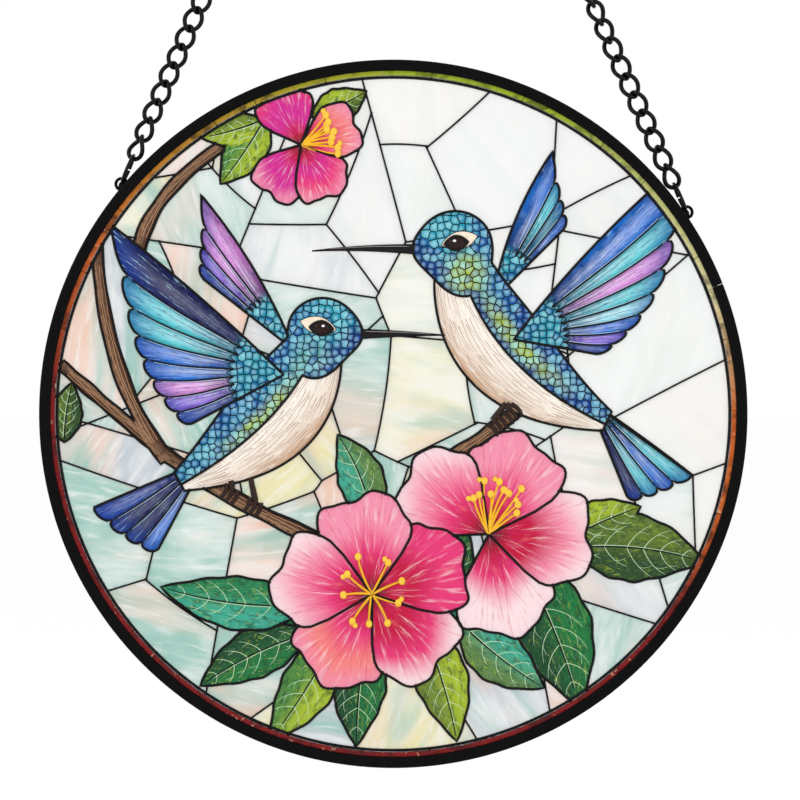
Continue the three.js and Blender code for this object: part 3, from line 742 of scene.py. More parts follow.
# Meshes
def keep(piece, slot, *nodes):
    """Fixes a finished piece to the object's body and hides the frame's nodes that it stands for. The slot
    is not used.
    """
    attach(piece, "root")
    if nodes:
        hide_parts(*nodes)
    return piece


def new_mesh(name, points, edges=(), faces=()):
    mesh = bpy.data.meshes.new(name)
    mesh.from_pydata(np.asarray(points, float).tolist(), list(edges), list(faces))
    return mesh


def new_object(name, mesh, material=None):
    piece = bpy.data.objects.new(name, mesh)
    bpy.context.scene.collection.objects.link(piece)
    if material:
        mesh.materials.clear()
        mesh.materials.append(material)
    return piece


def write_attribute(mesh, name, kind, domain, values):
    """Writes a number (FLOAT) or a colour (FLOAT_COLOR) for each corner or point of a mesh."""
    if kind == "FLOAT_COLOR":
        colours = np.column_stack((values, np.ones(len(values))))
        mesh.color_attributes.new(name, kind, domain).data.foreach_set("color", colours.ravel())
    else:
        values = np.asarray(values, np.float32)
        mesh.attributes.new(name, kind, domain).data.foreach_set("value", values)


def glass_piece(name, rows, tint, grain, scaled, material):
    """Sheets of glass over some of the net's triangles, each pane a closed body.

    tint, grain and scaled hold the colour, the streak place and the mask of each corner. The mask shows
    plumage on wings, and how far the colours reach on the background."""
    net = panel()
    flat = net.triangles[rows].reshape(-1)
    keys = np.stack((flat, np.repeat(net.pane_of[rows], 3)), 1)
    unique, corner = np.unique(keys, axis=0, return_inverse=True)
    corner = corner.reshape(-1, 3)
    place, count = net.points[unique[:, 0]], len(unique)
    sheets = [np.column_stack((place, np.full(count, side * GLASS / 2))) for side in (1, -1)]
    source = np.arange(len(flat)).reshape(-1, 3)
    rims = {}
    for triangle, own in zip(corner.tolist(), source.tolist()):
        for k in range(3):
            p, q = triangle[k], triangle[(k + 1) % 3]
            if rims.pop((q, p), None) is None:
                rims[(p, q)] = own[k], own[(k + 1) % 3]
    faces = corner.tolist() + (corner[:, ::-1] + count).tolist()
    faces += [(q, p, p + count, q + count) for p, q in rims]
    loops = np.concatenate((source.ravel(), source[:, ::-1].ravel(),
                            np.array([(q, p, p, q) for p, q in rims.values()]).ravel()))
    mesh = new_mesh(name, to_frame(np.concatenate(sheets)), faces=faces)
    write_attribute(mesh, "tint", "FLOAT_COLOR", "CORNER", tint.clip(0, 1)[loops])
    write_attribute(mesh, "scaled", "FLOAT", "CORNER", scaled[loops])
    mesh.uv_layers.new(name="grain").data.foreach_set("uv", grain[loops].ravel())
    mesh.update()
    return new_object(name, mesh, material)


NUDGE = 0.12  # how far a corner's colour is read towards its triangle's middle, so sides stay crisp


def pane_piece(name, chosen, material, field=None):
    """One piece from the net's chosen triangles, coloured by its figures or by a field of its own."""
    net = panel()
    rows = np.where(chosen)[0]
    if not len(rows):
        raise RuntimeError(f"{name} has no glass left")
    corners = net.points[net.triangles[rows]]
    corners = (corners + (corners.mean(1, keepdims=True) - corners) * NUDGE).reshape(-1, 2)
    if field:
        tint, grain, scaled = field(corners, np.repeat(net.pane_of[rows], 3))
    else:
        tint, grain, scaled = (np.zeros((len(corners), 3)), np.zeros((len(corners), 2)),
                               np.zeros(len(corners)))
        owner = np.repeat(net.owner[rows], 3)
        for index in np.unique(owner):
            mine = owner == index
            tint[mine], grain[mine], *rest = net.figures[index].field(corners[mine])
            if rest:
                scaled[mine] = rest[0]
    return glass_piece(name, rows, tint, grain, scaled, material)


def line_mesh(name, lines):
    """A mesh of edges from lines, each given as (points, half width at start, at end, height)."""
    points, edges, halves = [], [], []
    for line, first, last, height in lines:
        start = len(points)
        points.extend((*p, height) for p in line)
        halves.extend(np.linspace(first, last, len(line)))
        edges.extend((start + k, start + k + 1) for k in range(len(line) - 1))
    return edge_mesh(name, np.array(points), edges, halves)


def edge_mesh(name, points, edges, halves):
    """A mesh of edges with a half width at each point."""
    mesh = new_mesh(name, points, edges)
    write_attribute(mesh, "half", "FLOAT", "POINT", halves)
    return mesh


# Node trees
def new_tree(kind, name, inputs, outputs):
    """A node group with named inputs, as (label, kind, default), and outputs, as (label, kind)."""
    tree = bpy.data.node_groups.new(name, kind)
    for label, socket_kind, value in inputs:
        socket = tree.interface.new_socket(label, in_out="INPUT", socket_type=f"NodeSocket{socket_kind}")
        if value is not None:
            socket.default_value = value
    for label, socket_kind in outputs:
        tree.interface.new_socket(label, in_out="OUTPUT", socket_type=f"NodeSocket{socket_kind}")
    return tree, tree.nodes.new("NodeGroupInput").outputs, tree.nodes.new("NodeGroupOutput").inputs


def add(tree, kind, inputs=None, **settings):
    """Adds a node, and sets or links its inputs by name or number."""
    node = tree.nodes.new(kind)
    for key, value in settings.items():
        setattr(node, key, value)
    for key, value in (inputs or {}).items():
        if isinstance(value, bpy.types.NodeSocket):
            tree.links.new(value, node.inputs[key])
        else:
            node.inputs[key].default_value = value
    return node


def feed(tree, kind, inputs=None, **settings):
    """Adds a node, and gives its first output."""
    return add(tree, kind, inputs, **settings).outputs[0]


def times(tree, a, b):
    return feed(tree, "ShaderNodeMath", {0: a, 1: b}, operation="MULTIPLY")


def ramp(tree, factor, low, high, bottom=0.0, top=1.0, rise="SMOOTHSTEP"):
    """A value that goes from bottom to top as the factor goes from low to high."""
    return feed(tree, "ShaderNodeMapRange", {0: factor, 1: low, 2: high, 3: bottom, 4: top},
                interpolation_type=rise)


def blend(tree, factor, under, over):
    """One colour laid over another."""
    return add(tree, "ShaderNodeMix", {0: factor, 6: under, 7: over}, data_type="RGBA").outputs[2]


SHAPE = ("Geometry", "Geometry")


def end_tree(tree, given, result, shape):
    """Ends a geometry tree in real, smooth meshes with the material that was asked for."""
    real = feed(tree, "GeometryNodeRealizeInstances", {0: shape})
    smooth = feed(tree, "GeometryNodeSetShadeSmooth", {"Geometry": real})
    painted = feed(tree, "GeometryNodeSetMaterial", {"Geometry": smooth, "Material": given["Material"]})
    tree.links.new(painted, result["Geometry"])
    return tree


@functools.lru_cache(maxsize=None)
def bead_tree():
    """Beads along edges: an upright oval section, as wide as each point's half width says."""
    tree, given, result = new_tree("GeometryNodeTree", "Lead beads", (
        (*SHAPE, None), ("Height", "Float", 1.0), ("Sides", "Int", 10), ("Dots", "Float", 0.0),
        ("Material", "Material", None)), (SHAPE,))
    half = feed(tree, "GeometryNodeInputNamedAttribute", {"Name": "half"}, data_type="FLOAT")
    curve = feed(tree, "GeometryNodeMeshToCurve", {"Mesh": given["Geometry"]})
    section = feed(tree, "GeometryNodeCurvePrimitiveCircle", {"Resolution": given["Sides"], "Radius": 1.0},
                   mode="RADIUS")
    tube = feed(tree, "GeometryNodeCurveToMesh", {"Curve": curve, "Scale": half, "Profile Curve": section,
                                                  "Fill Caps": True})
    place = feed(tree, "GeometryNodeInputPosition")
    x, y, z = add(tree, "ShaderNodeSeparateXYZ", {0: place}).outputs
    upright = feed(tree, "ShaderNodeCombineXYZ", {0: x, 1: y, 2: times(tree, z, given["Height"])})
    beaded = feed(tree, "GeometryNodeSetPosition", {"Geometry": tube, "Position": upright})

    # A dot of solder on every point where three or more edges meet
    neighbours = feed(tree, "GeometryNodeInputMeshVertexNeighbors")
    junction = feed(tree, "FunctionNodeCompare", {2: neighbours, 3: 2}, data_type="INT",
                    operation="GREATER_THAN")
    dot = feed(tree, "GeometryNodeMeshUVSphere", {"Segments": 10, "Rings": 6, "Radius": 1.0})
    wide, tall = times(tree, half, given["Dots"]), times(tree, half, given["Height"])
    dots = feed(tree, "GeometryNodeInstanceOnPoints", {
        "Points": given["Geometry"], "Selection": junction, "Instance": dot,
        "Scale": feed(tree, "ShaderNodeCombineXYZ", {0: wide, 1: wide, 2: tall})})
    both = add(tree, "GeometryNodeJoinGeometry", {0: beaded})
    tree.links.new(dots, both.inputs[0])
    return end_tree(tree, given, result, both.outputs[0])


@functools.lru_cache(maxsize=None)
def link_tree():
    """Twisted wire links, one at each point, turned by the point's own turn."""
    tree, given, result = new_tree("GeometryNodeTree", "Chain links", (
        (*SHAPE, None), ("Length", "Float", 8.0), ("Width", "Float", 5.0), ("Wire", "Float", 0.5),
        ("Twist", "Float", 1.57), ("Material", "Material", None)), (SHAPE,))
    ring = feed(tree, "GeometryNodeCurvePrimitiveCircle", {"Resolution": 36, "Radius": 1.0}, mode="RADIUS")
    place = feed(tree, "GeometryNodeInputPosition")
    _, along, _ = add(tree, "ShaderNodeSeparateXYZ", {0: place}).outputs
    size = feed(tree, "ShaderNodeCombineXYZ", {0: given["Width"], 1: given["Length"], 2: 1.0})
    half = feed(tree, "ShaderNodeVectorMath", {0: size, 1: (0.5, 0.5, 0.0)}, operation="MULTIPLY")
    oval = feed(tree, "ShaderNodeVectorMath", {0: place, 1: half}, operation="MULTIPLY")
    lean = times(tree, times(tree, along, given["Twist"]), -0.5)
    turned = feed(tree, "ShaderNodeVectorRotate", {"Vector": oval, "Axis": (0, 1, 0), "Angle": lean},
                  rotation_type="AXIS_ANGLE")
    shaped = feed(tree, "GeometryNodeSetPosition", {"Geometry": ring, "Position": turned})
    section = feed(tree, "GeometryNodeCurvePrimitiveCircle", {"Resolution": 10, "Radius": given["Wire"]},
                   mode="RADIUS")
    link = feed(tree, "GeometryNodeCurveToMesh", {"Curve": shaped, "Profile Curve": section})
    turn = feed(tree, "GeometryNodeInputNamedAttribute", {"Name": "turn"}, data_type="FLOAT")
    links = feed(tree, "GeometryNodeInstanceOnPoints", {
        "Points": given["Geometry"], "Instance": link,
        "Rotation": feed(tree, "ShaderNodeCombineXYZ", {0: 0.0, 1: turn, 2: 0.0})})
    return end_tree(tree, given, result, links)


def run_tree(name, mesh, tree, values):
    """A plain mesh from a tree's result on a mesh, with the tree's inputs set by their labels."""
    carrier = new_object(name + "_source", mesh)
    modifier = carrier.modifiers.new("Nodes", "NODES")
    modifier.node_group = tree
    for item in tree.interface.items_tree:
        if item.in_out == "INPUT" and item.name in values:
            modifier[item.identifier] = values[item.name]
    bpy.context.view_layer.update()
    evaluated = carrier.evaluated_get(bpy.context.evaluated_depsgraph_get())
    result = bpy.data.meshes.new_from_object(evaluated)
    result.name = name
    carrier.modifiers.clear()
    bpy.data.objects.remove(carrier)
    return result


def stand(mesh):
    """Turns a mesh drawn in the panel's millimetres upright, in its place in the frame."""
    mesh.transform(Matrix.Translation(PANEL_CENTER) @ Matrix.Scale(MM, 4)
                   @ Matrix.Rotation(math.pi / 2, 4, "X"))
    mesh.update()
    return mesh


def beads(name, mesh, material, height=1.0, sides=8, dots=0.0, lift=0.0):
    """A piece of beads along a mesh's edges: their height is a share of their width."""
    result = run_tree(name, mesh, bead_tree(), {
        "Height": height, "Sides": sides, "Dots": dots, "Material": material})
    if lift:
        result.transform(Matrix.Translation((0, 0, lift)))
    return new_object(name, stand(result))


def strokes(name, lines, material, slot, height=1.0, sides=8, lift=0.0, nodes=()):
    """Keeps one piece of raised lines."""
    keep(beads(name, line_mesh(name, lines), material, height, sides, lift=lift), slot, *nodes)


# Finishes
@functools.lru_cache(maxsize=None)
def streak_group():
    """Shared layer of streaks or grain: stretched noise that lays one colour over another."""
    tree, given, result = new_tree("ShaderNodeTree", "Streaks", (
        ("Vector", "Vector", None), ("Stretch", "Vector", (1, 1, 1)), ("Scale", "Float", 1.0),
        ("Detail", "Float", 3.0), ("Warp", "Float", 0.0), ("From", "Float", 0.0), ("To", "Float", 1.0),
        ("At From", "Float", 0.0), ("At To", "Float", 1.0), ("Mask", "Float", 1.0),
        ("Under", "Color", None), ("Over", "Color", None)),
        (("Color", "Color"), ("Amount", "Float"), ("Pattern", "Float")))
    where = feed(tree, "ShaderNodeMapping", {"Vector": given["Vector"], "Scale": given["Stretch"]})
    noise = feed(tree, "ShaderNodeTexNoise", {"Vector": where, "Scale": given["Scale"],
                                              "Detail": given["Detail"], "Distortion": given["Warp"]})
    band = ramp(tree, noise, given["From"], given["To"], given["At From"], given["At To"])
    amount = times(tree, band, given["Mask"])
    tree.links.new(blend(tree, amount, given["Under"], given["Over"]), result["Color"])
    tree.links.new(amount, result["Amount"])
    tree.links.new(noise, result["Pattern"])
    return tree


@functools.lru_cache(maxsize=None)
def relief_group():
    """Shared relief of rolled glass: long waves and fine pits, as a height."""
    tree, given, result = new_tree("ShaderNodeTree", "Rolled glass", (
        ("Vector", "Vector", None), ("Waves", "Float", 160.0), ("Pits", "Float", 900.0)),
        (("Height", "Float"),))
    waves, pits = (feed(tree, "ShaderNodeTexNoise", {"Vector": given["Vector"], "Scale": given[label],
                                                     "Detail": 2.0}) for label in ("Waves", "Pits"))
    both = feed(tree, "ShaderNodeMath", {0: waves, 1: times(tree, pits, 0.25)}, operation="ADD")
    tree.links.new(both, result["Height"])
    return tree


@functools.lru_cache(maxsize=None)
def scale_group():
    """Shared pattern of small rounded feathers: each its own shade, with a sheen and a dark edge."""
    tree, given, result = new_tree("ShaderNodeTree", "Feather scales", (
        ("Vector", "Vector", None), ("Scale", "Float", 4.8), ("Tint", "Color", None),
        ("Pale", "Color", None), ("Deep", "Color", None), ("Gleam", "Color", None),
        ("Outline", "Color", None)), (("Color", "Color"), ("Edge", "Float")))
    values = {"Vector": given["Vector"], "Scale": given["Scale"], "Randomness": 0.6}
    side = add(tree, "ShaderNodeTexVoronoi", values, feature="DISTANCE_TO_EDGE", voronoi_dimensions="2D")
    cell = add(tree, "ShaderNodeTexVoronoi", values, voronoi_dimensions="2D")
    draw = feed(tree, "ShaderNodeSeparateColor", {0: cell.outputs["Color"]})
    edge = ramp(tree, side.outputs["Distance"], 0.05, 0.095, 1.0, 0.0, "LINEAR")
    sheen = ramp(tree, cell.outputs["Distance"], 0.45, 0.1, 0.0, 1.0, "LINEAR")
    colour = blend(tree, ramp(tree, draw, 0.45, 0.95, 0.0, 0.42), given["Tint"], given["Pale"])
    colour = blend(tree, ramp(tree, draw, 0.45, 0.0, 0.0, 0.5), colour, given["Deep"])
    colour = blend(tree, times(tree, sheen, 0.35), colour, given["Gleam"])
    tree.links.new(blend(tree, edge, colour, given["Outline"]), result["Color"])
    tree.links.new(edge, result["Edge"])
    return tree


def opaque(colour):
    """A colour as a node's input takes it: a socket, or its three values with a full alpha."""
    return colour if isinstance(colour, bpy.types.NodeSocket) else (*colour, 1)


class Finish:
    """A new material with its Principled shader, and short calls for the nodes that feed it."""

    def __init__(self, name, **plain):
        self.material = bpy.data.materials.new(name)
        self.material.use_nodes = True
        self.tree = self.material.node_tree
        self.shader = self.tree.nodes["Principled BSDF"]
        for key, value in plain.items():
            self.shader.inputs[key.replace("_", " ")].default_value = value

    def grain(self):
        """The streak coordinates of a pane, which run along its feather, petal, leaf or branch."""
        return feed(self.tree, "ShaderNodeUVMap", uv_map="grain")

    def place(self):
        """The object's own coordinates."""
        return add(self.tree, "ShaderNodeTexCoord").outputs["Object"]

    def tint(self):
        return feed(self.tree, "ShaderNodeVertexColor", layer_name="tint")

    def mask(self):
        return add(self.tree, "ShaderNodeAttribute", attribute_name="scaled").outputs["Fac"]

    def streaks(self, under, over, stretch, scale, detail, warp, band, amounts, mask=1.0, where=None):
        """A layer of streaks: its colour, its amount and its pattern."""
        return add(self.tree, "ShaderNodeGroup", {
            "Vector": self.grain() if where is None else where, "Stretch": stretch, "Scale": scale,
            "Detail": detail, "Warp": warp, "From": band[0], "To": band[1], "At From": amounts[0],
            "At To": amounts[1], "Mask": mask, "Under": opaque(under), "Over": opaque(over)},
            node_tree=streak_group()).outputs

    def layers(self, colour, rows, mask=1.0):
        """Layers of streaks over a colour, from rows such as those of STREAKS."""
        for over, (along, across), *row in rows:
            colour = self.streaks(colour, tone(over), (along, across, 1.0), *row, mask)["Color"]
        return colour

    def scales(self, where):
        """Scaled plumage over the tint: its colour and its dark edges."""
        return add(self.tree, "ShaderNodeGroup", {
            "Vector": where, "Tint": self.tint(), "Pale": opaque(tone("aqua")),
            "Deep": opaque(tone("blue")), "Gleam": opaque(tone("frost")),
            "Outline": opaque(tone("ink"))}, node_tree=scale_group()).outputs

    def bump(self, height, strength, distance=0.0003):
        normal = feed(self.tree, "ShaderNodeBump", {"Height": height, "Strength": strength,
                                                    "Distance": distance})
        self.tree.links.new(normal, self.shader.inputs["Normal"])

    def roll(self, strength=0.5):
        """The relief of rolled glass."""
        self.bump(feed(self.tree, "ShaderNodeGroup", {"Vector": self.place()},
                       node_tree=relief_group()), strength)

    def paint(self, colour, rough=None):
        self.tree.links.new(colour, self.shader.inputs["Base Color"])
        if rough is not None:
            self.tree.links.new(rough, self.shader.inputs["Roughness"])
        return self.material


GLASS_PLAIN = {"Roughness": 0.12, "IOR": 1.5, "Specular_IOR_Level": 0.14}
EVEN = (1.0, 1.0, 1.0)

# The streaks in each glass, from the lowest layer up. Each has its colour, its stretch along and across
# the grain, its scale, detail and warp, the band of the noise that it rises in, and its amount at the
# band's two ends.
STREAKS = {
    "opal_glass": (("peach", (0.45, 1.2), 1.0, 2.0, 0.5, (0.48, 0.72), (0.0, 0.75)),
                   ("mint", (0.5, 1.7), 1.2, 2.5, 0.7, (0.46, 0.72), (0.0, 0.9))),
    "petal_glass": (("blush", (1.4, 5.5), 2.2, 4.0, 0.6, (0.52, 0.78), (0.0, 0.75)),
                    ("crimson", (1.2, 9.0), 2.6, 3.0, 0.4, (0.55, 0.78), (0.0, 0.6)),
                    ("coral", (2.0, 1.2), 2.0, 2.0, 0.0, (0.6, 0.8), (0.0, 0.4))),
    "feather_glass": (("navy", (0.9, 5.0), 3.0, 4.0, 0.5, (0.3, 0.5), (0.55, 0.0)),
                      ("ice", (0.6, 7.0), 2.3, 3.0, 0.3, (0.56, 0.76), (0.0, 0.7))),
    "down_glass": (("tan", (1.6, 11.0), 2.2, 4.0, 1.2, (0.5, 0.66), (0.0, 0.35)),
                   ("cream", (1.0, 5.0), 1.6, 2.0, 0.6, (0.5, 0.7), (0.0, 0.6))),
    "leaf_glass": (("forest", (1.4, 2.6), 2.6, 5.0, 1.0, (0.28, 0.55), (0.75, 0.0)),
                   ("lime", (1.0, 3.0), 3.4, 4.0, 1.6, (0.56, 0.74), (0.0, 0.6)),
                   ("dew", (2.5, 5.5), 4.5, 2.0, 3.0, (0.66, 0.72), (0.0, 0.65))),
}


@functools.lru_cache(maxsize=None)
def streaked_finish(name, transmission, relief):
    """Petals, bellies and leaves: their tint under layers of streaks, in rolled glass."""
    f = Finish(name, Transmission_Weight=transmission, **GLASS_PLAIN)
    f.roll(relief)
    return f.paint(f.layers(f.tint(), STREAKS[name]))


@functools.lru_cache(maxsize=None)
def opal_finish():
    """White glass with clouds of each pane's tint, peach and mint streaks, and white wisps on top."""
    f = Finish("opal_glass", Transmission_Weight=0.2, **GLASS_PLAIN)
    white = tone("white")
    cloud = f.streaks(white, white, (1.0, 1.3, 1.0), 1.1, 2.0, 0.4, (0.3, 0.6), (0.45, 1.0))["Amount"]
    colour = f.streaks(white, f.tint(), (0.5, 2.2, 1.0), 2.4, 4.0, 0.8, (0.3, 0.68), (0.45, 1.0),
                       cloud)["Color"]
    colour = f.layers(colour, STREAKS["opal_glass"], f.mask())
    wisps = f.streaks(colour, white, (0.6, 4.0, 1.0), 3.4, 3.0, 0.5, (0.52, 0.74), (0.0, 0.55))
    f.roll(0.4)
    return f.paint(wisps["Color"])


@functools.lru_cache(maxsize=None)
def feather_finish():
    """Feathers with barbs and light streaks, and scaled plumage where the mask says."""
    f = Finish("feather_glass", Transmission_Weight=0.1, **GLASS_PLAIN)
    colour = f.layers(f.tint(), STREAKS["feather_glass"])
    turned = feed(f.tree, "ShaderNodeMapping", {
        "Vector": f.place(), "Rotation": (math.pi / 2, 0, 0), "Scale": (100, 100, 100)})
    covered = ramp(f.tree, f.mask(), 0.35, 0.65)
    f.roll()
    return f.paint(blend(f.tree, covered, colour, f.scales(turned)["Color"]))


@functools.lru_cache(maxsize=None)
def plumage_finish():
    f = Finish("plumage_glass", Transmission_Weight=0.1, **GLASS_PLAIN)
    colour, edge = f.scales(f.grain())
    f.bump(edge, -0.6)
    return f.paint(colour)


@functools.lru_cache(maxsize=None)
def bark_finish():
    f = Finish("bark_glass", **dict(GLASS_PLAIN, Roughness=0.35))
    colour, _, grain = f.streaks(f.tint(), tone("char"), (1.5, 16.0, 1.0), 3.0, 4.0, 0.6, (0.35, 0.6),
                                 (0.8, 0.0))
    f.bump(grain, 0.4)
    return f.paint(colour)


@functools.lru_cache(maxsize=None)
def border_finish():
    """Mottled glass with a few bright sparks."""
    f = Finish("border_glass", Transmission_Weight=0.1, **GLASS_PLAIN)
    colour = f.streaks(f.tint(), tone("soot"), (3.0, 3.0, 3.0), 60.0, 4.0, 1.0, (0.45, 0.7), (0.0, 0.75),
                       where=f.place())["Color"]
    colour = f.streaks(colour, tone("spark"), EVEN, 500.0, 2.0, 0.5, (0.66, 0.74), (0.0, 0.7),
                       where=f.place())["Color"]
    f.roll()
    return f.paint(colour)


# Each metal: its material's name, colour, roughness, specular level, grain scale and grain relief
METALS = {"lead": ("black_lead", srgb(8, 7, 8), 0.3, 0.16, 900.0, 0.25),
          "rim": ("satin_black_rim", srgb(4, 4, 5), 0.45, 0.07, 1400.0, 0.12),
          "chain": ("gloss_black_chain", srgb(3, 3, 4), 0.16, 0.16, 700.0, 0.1)}


@functools.lru_cache(maxsize=None)
def metal(kind):
    """Blackened or painted metal with broad patches in its tone and fine grain in its sheen."""
    name, colour, rough, specular, grain, relief = METALS[kind]
    f = Finish(name, Metallic=0.0, Specular_IOR_Level=specular)
    _, sheen, fine = f.streaks(colour, colour, EVEN, grain, 4.0, 0.0, (0.3, 0.7),
                               (rough * 0.8, rough * 1.25), where=f.place())
    worn = [1.8 * c for c in colour]
    shade, _, _ = f.streaks(colour, worn, EVEN, grain / 12, 2.0, 0.0, (0.4, 0.7), (0.0, 0.5),
                            where=f.place())
    f.bump(fine, relief, 0.0002)
    return f.paint(shade, sheen)


@functools.lru_cache(maxsize=None)
def enamel(name, red, green, blue, rough=0.3):
    """Raised lines of glass paint, slightly uneven in colour."""
    f = Finish(name, Roughness=rough, Specular_IOR_Level=0.2)
    shade = srgb(red, green, blue)
    colour, _, speckle = f.streaks(shade, [0.72 * c for c in shade], EVEN, 800.0, 3.0, 0.0, (0.35, 0.65),
                                   (0.0, 0.4), where=f.place())
    f.bump(speckle, 0.15, 0.0001)
    return f.paint(colour)


# Operators
class Maker(bpy.types.Operator):
    """Base of the operators below: each makes one group of pieces."""
    bl_idname = "suncatcher.maker"
    bl_label = "Maker"
    bl_options = {"REGISTER", "UNDO"}

    def execute(self, context):
        self.make()
        return {"FINISHED"}


FLOOR_DROP = 0.05  # from the rim's lowest point to the floor, in metres
FLOOR_REACH = 30.0
LAMPS = (("key", (-0.7, -0.9, 0.6), 0.3, 2.2), ("fill", (0.8, -0.8, 0.1), 0.5, 0.8))

# The photo's frame at the panel: its width, and where its middle lies from the panel's centre
PICTURE_WIDTH = 226.4
PICTURE_MIDDLE = (1.9, 3.9)
CAMERA_DISTANCE = 1.0


class MakeStage(Maker):
    """Pale floor, soft light and the camera that faces the panel"""
    bl_idname = "suncatcher.make_stage"
    bl_label = "Stage"

    def make(self):
        scene = bpy.context.scene
        scene.view_settings.view_transform = "Standard"
        scene.world = scene.world or bpy.data.worlds.new("World")
        scene.world.use_nodes = True
        sky = scene.world.node_tree.nodes["Background"]
        sky.inputs["Color"].default_value = (1, 1, 1, 1)
        sky.inputs["Strength"].default_value = 1.0
        low, far = PANEL_CENTER.z - PANEL_RADIUS * MM - FLOOR_DROP, FLOOR_REACH
        floor = new_mesh("floor", [(-far, -far, low), (far, -far, low), (far, far, low), (-far, far, low)],
                         faces=[(0, 1, 2, 3)])
        pale = Finish("pale_floor", Base_Color=(0.985, 0.985, 0.985, 1), Roughness=1.0,
                      Specular_IOR_Level=0.0)
        new_object("floor", floor, pale.material)
        for name, place, size, power in LAMPS:
            light = bpy.data.lights.new(name, "AREA")
            light.energy, light.size = power, size
            lamp = new_object(name, light)
            lamp.location = PANEL_CENTER + Vector(place)
            lamp.rotation_euler = (-Vector(place)).to_track_quat("-Z", "Y").to_euler()
        lens = bpy.data.cameras.new("camera")
        lens.sensor_width = 36.0
        lens.lens = lens.sensor_width * CAMERA_DISTANCE / (PICTURE_WIDTH * MM)
        lens.clip_start = 0.02
        camera = new_object("camera", lens)
        aside, above = PICTURE_MIDDLE
        camera.location = PANEL_CENTER + Vector((aside * MM, -CAMERA_DISTANCE, above * MM))
        camera.rotation_euler = (math.pi / 2, 0, 0)
        scene.camera = camera


SHARP_FROM = 35  # degrees between faces from which an edge stays sharp


def tidy_normals(mesh):
    work = bmesh.new()
    work.from_mesh(mesh)
    bmesh.ops.remove_doubles(work, verts=work.verts, dist=1e-7)
    bmesh.ops.recalc_face_normals(work, faces=work.faces)
    work.to_mesh(mesh)
    work.free()


def smooth_by_angle(mesh):
    mesh.shade_smooth()
    mesh.set_sharp_from_angle(angle=math.radians(SHARP_FROM))


def sweep(sections, closed):
    """Points and faces of a body through sections of equal count, joined up or capped at its ends."""
    stations, count = len(sections), len(sections[0])
    faces = []
    for k in range(stations if closed else stations - 1):
        near, far = k * count, (k + 1) % stations * count
        for i in range(count):
            j = (i + 1) % count
            faces.append((near + i, far + i, far + j, near + j))
    if not closed:
        faces += [tuple(range(count)), tuple(range((stations - 1) * count, stations * count))]
    return np.array(sections).reshape(-1, 3), faces


def wire_ring(radius, wire, around, sides, start=0.0, stop=360.0):
    """Points and faces of a wire ring in the plane, whole or with a cut."""
    whole = stop - start >= 360
    section = np.radians(360 * np.arange(sides) / sides)
    reach, rise = radius + wire * np.cos(section), wire * np.sin(section)
    turns = start + (stop - start) * np.arange(around if whole else around + 1) / around
    return sweep([np.column_stack((polar(turn, reach), rise)) for turn in turns], whole)


def append_body(mesh, points, faces):
    """Adds one more closed body to a mesh, from points in the panel's millimetres."""
    work = bmesh.new()
    work.from_mesh(mesh)
    verts = [work.verts.new(p) for p in to_frame(points)]
    made = [work.faces.new([verts[i] for i in face]) for face in faces]
    bmesh.ops.recalc_face_normals(work, faces=made)
    work.to_mesh(mesh)
    work.free()


def add_blob(mesh, center, radii, z=0.0):
    """A flattened ball, such as a lump of solder."""
    ball = bmesh.new()
    bmesh.ops.create_uvsphere(ball, u_segments=14, v_segments=8, radius=1.0)
    points = np.array([v.co for v in ball.verts]) * np.array(radii) + np.array((*center, z))
    faces = [tuple(v.index for v in f.verts) for f in ball.faces]
    ball.free()
    append_body(mesh, points, faces)


def add_plate(mesh, outline, low, high):
    """A flat body over an outline whose last point repeats its first."""
    outline = outline[:-1]
    append_body(mesh, *sweep([np.column_stack((outline, np.full(len(outline), z)))
                              for z in (low, high)], False))


def almond(center, half_length, half_height, tilt, facing):
    """A closed outline with two pointed ends."""
    turn = np.linspace(0, 2 * np.pi, 41)
    x = np.cos(turn)
    y = np.sign(np.sin(turn)) * (1 - np.abs(x) ** 1.9) ** 0.85 * half_height
    c, s = np.cos(np.radians(tilt * facing)), np.sin(np.radians(tilt * facing))
    return np.asarray(center) + np.stack((x * half_length * c - y * s, x * half_length * s + y * c), 1)


RING_STEPS = 240  # stations round the rim and the border glass
RIM_ROUNDING = 0.35
SEAM_RUN = 4.5  # degrees over which the rim's proud end comes down
SOLDER_LUMP = (1.5, 1.5, 1.1)


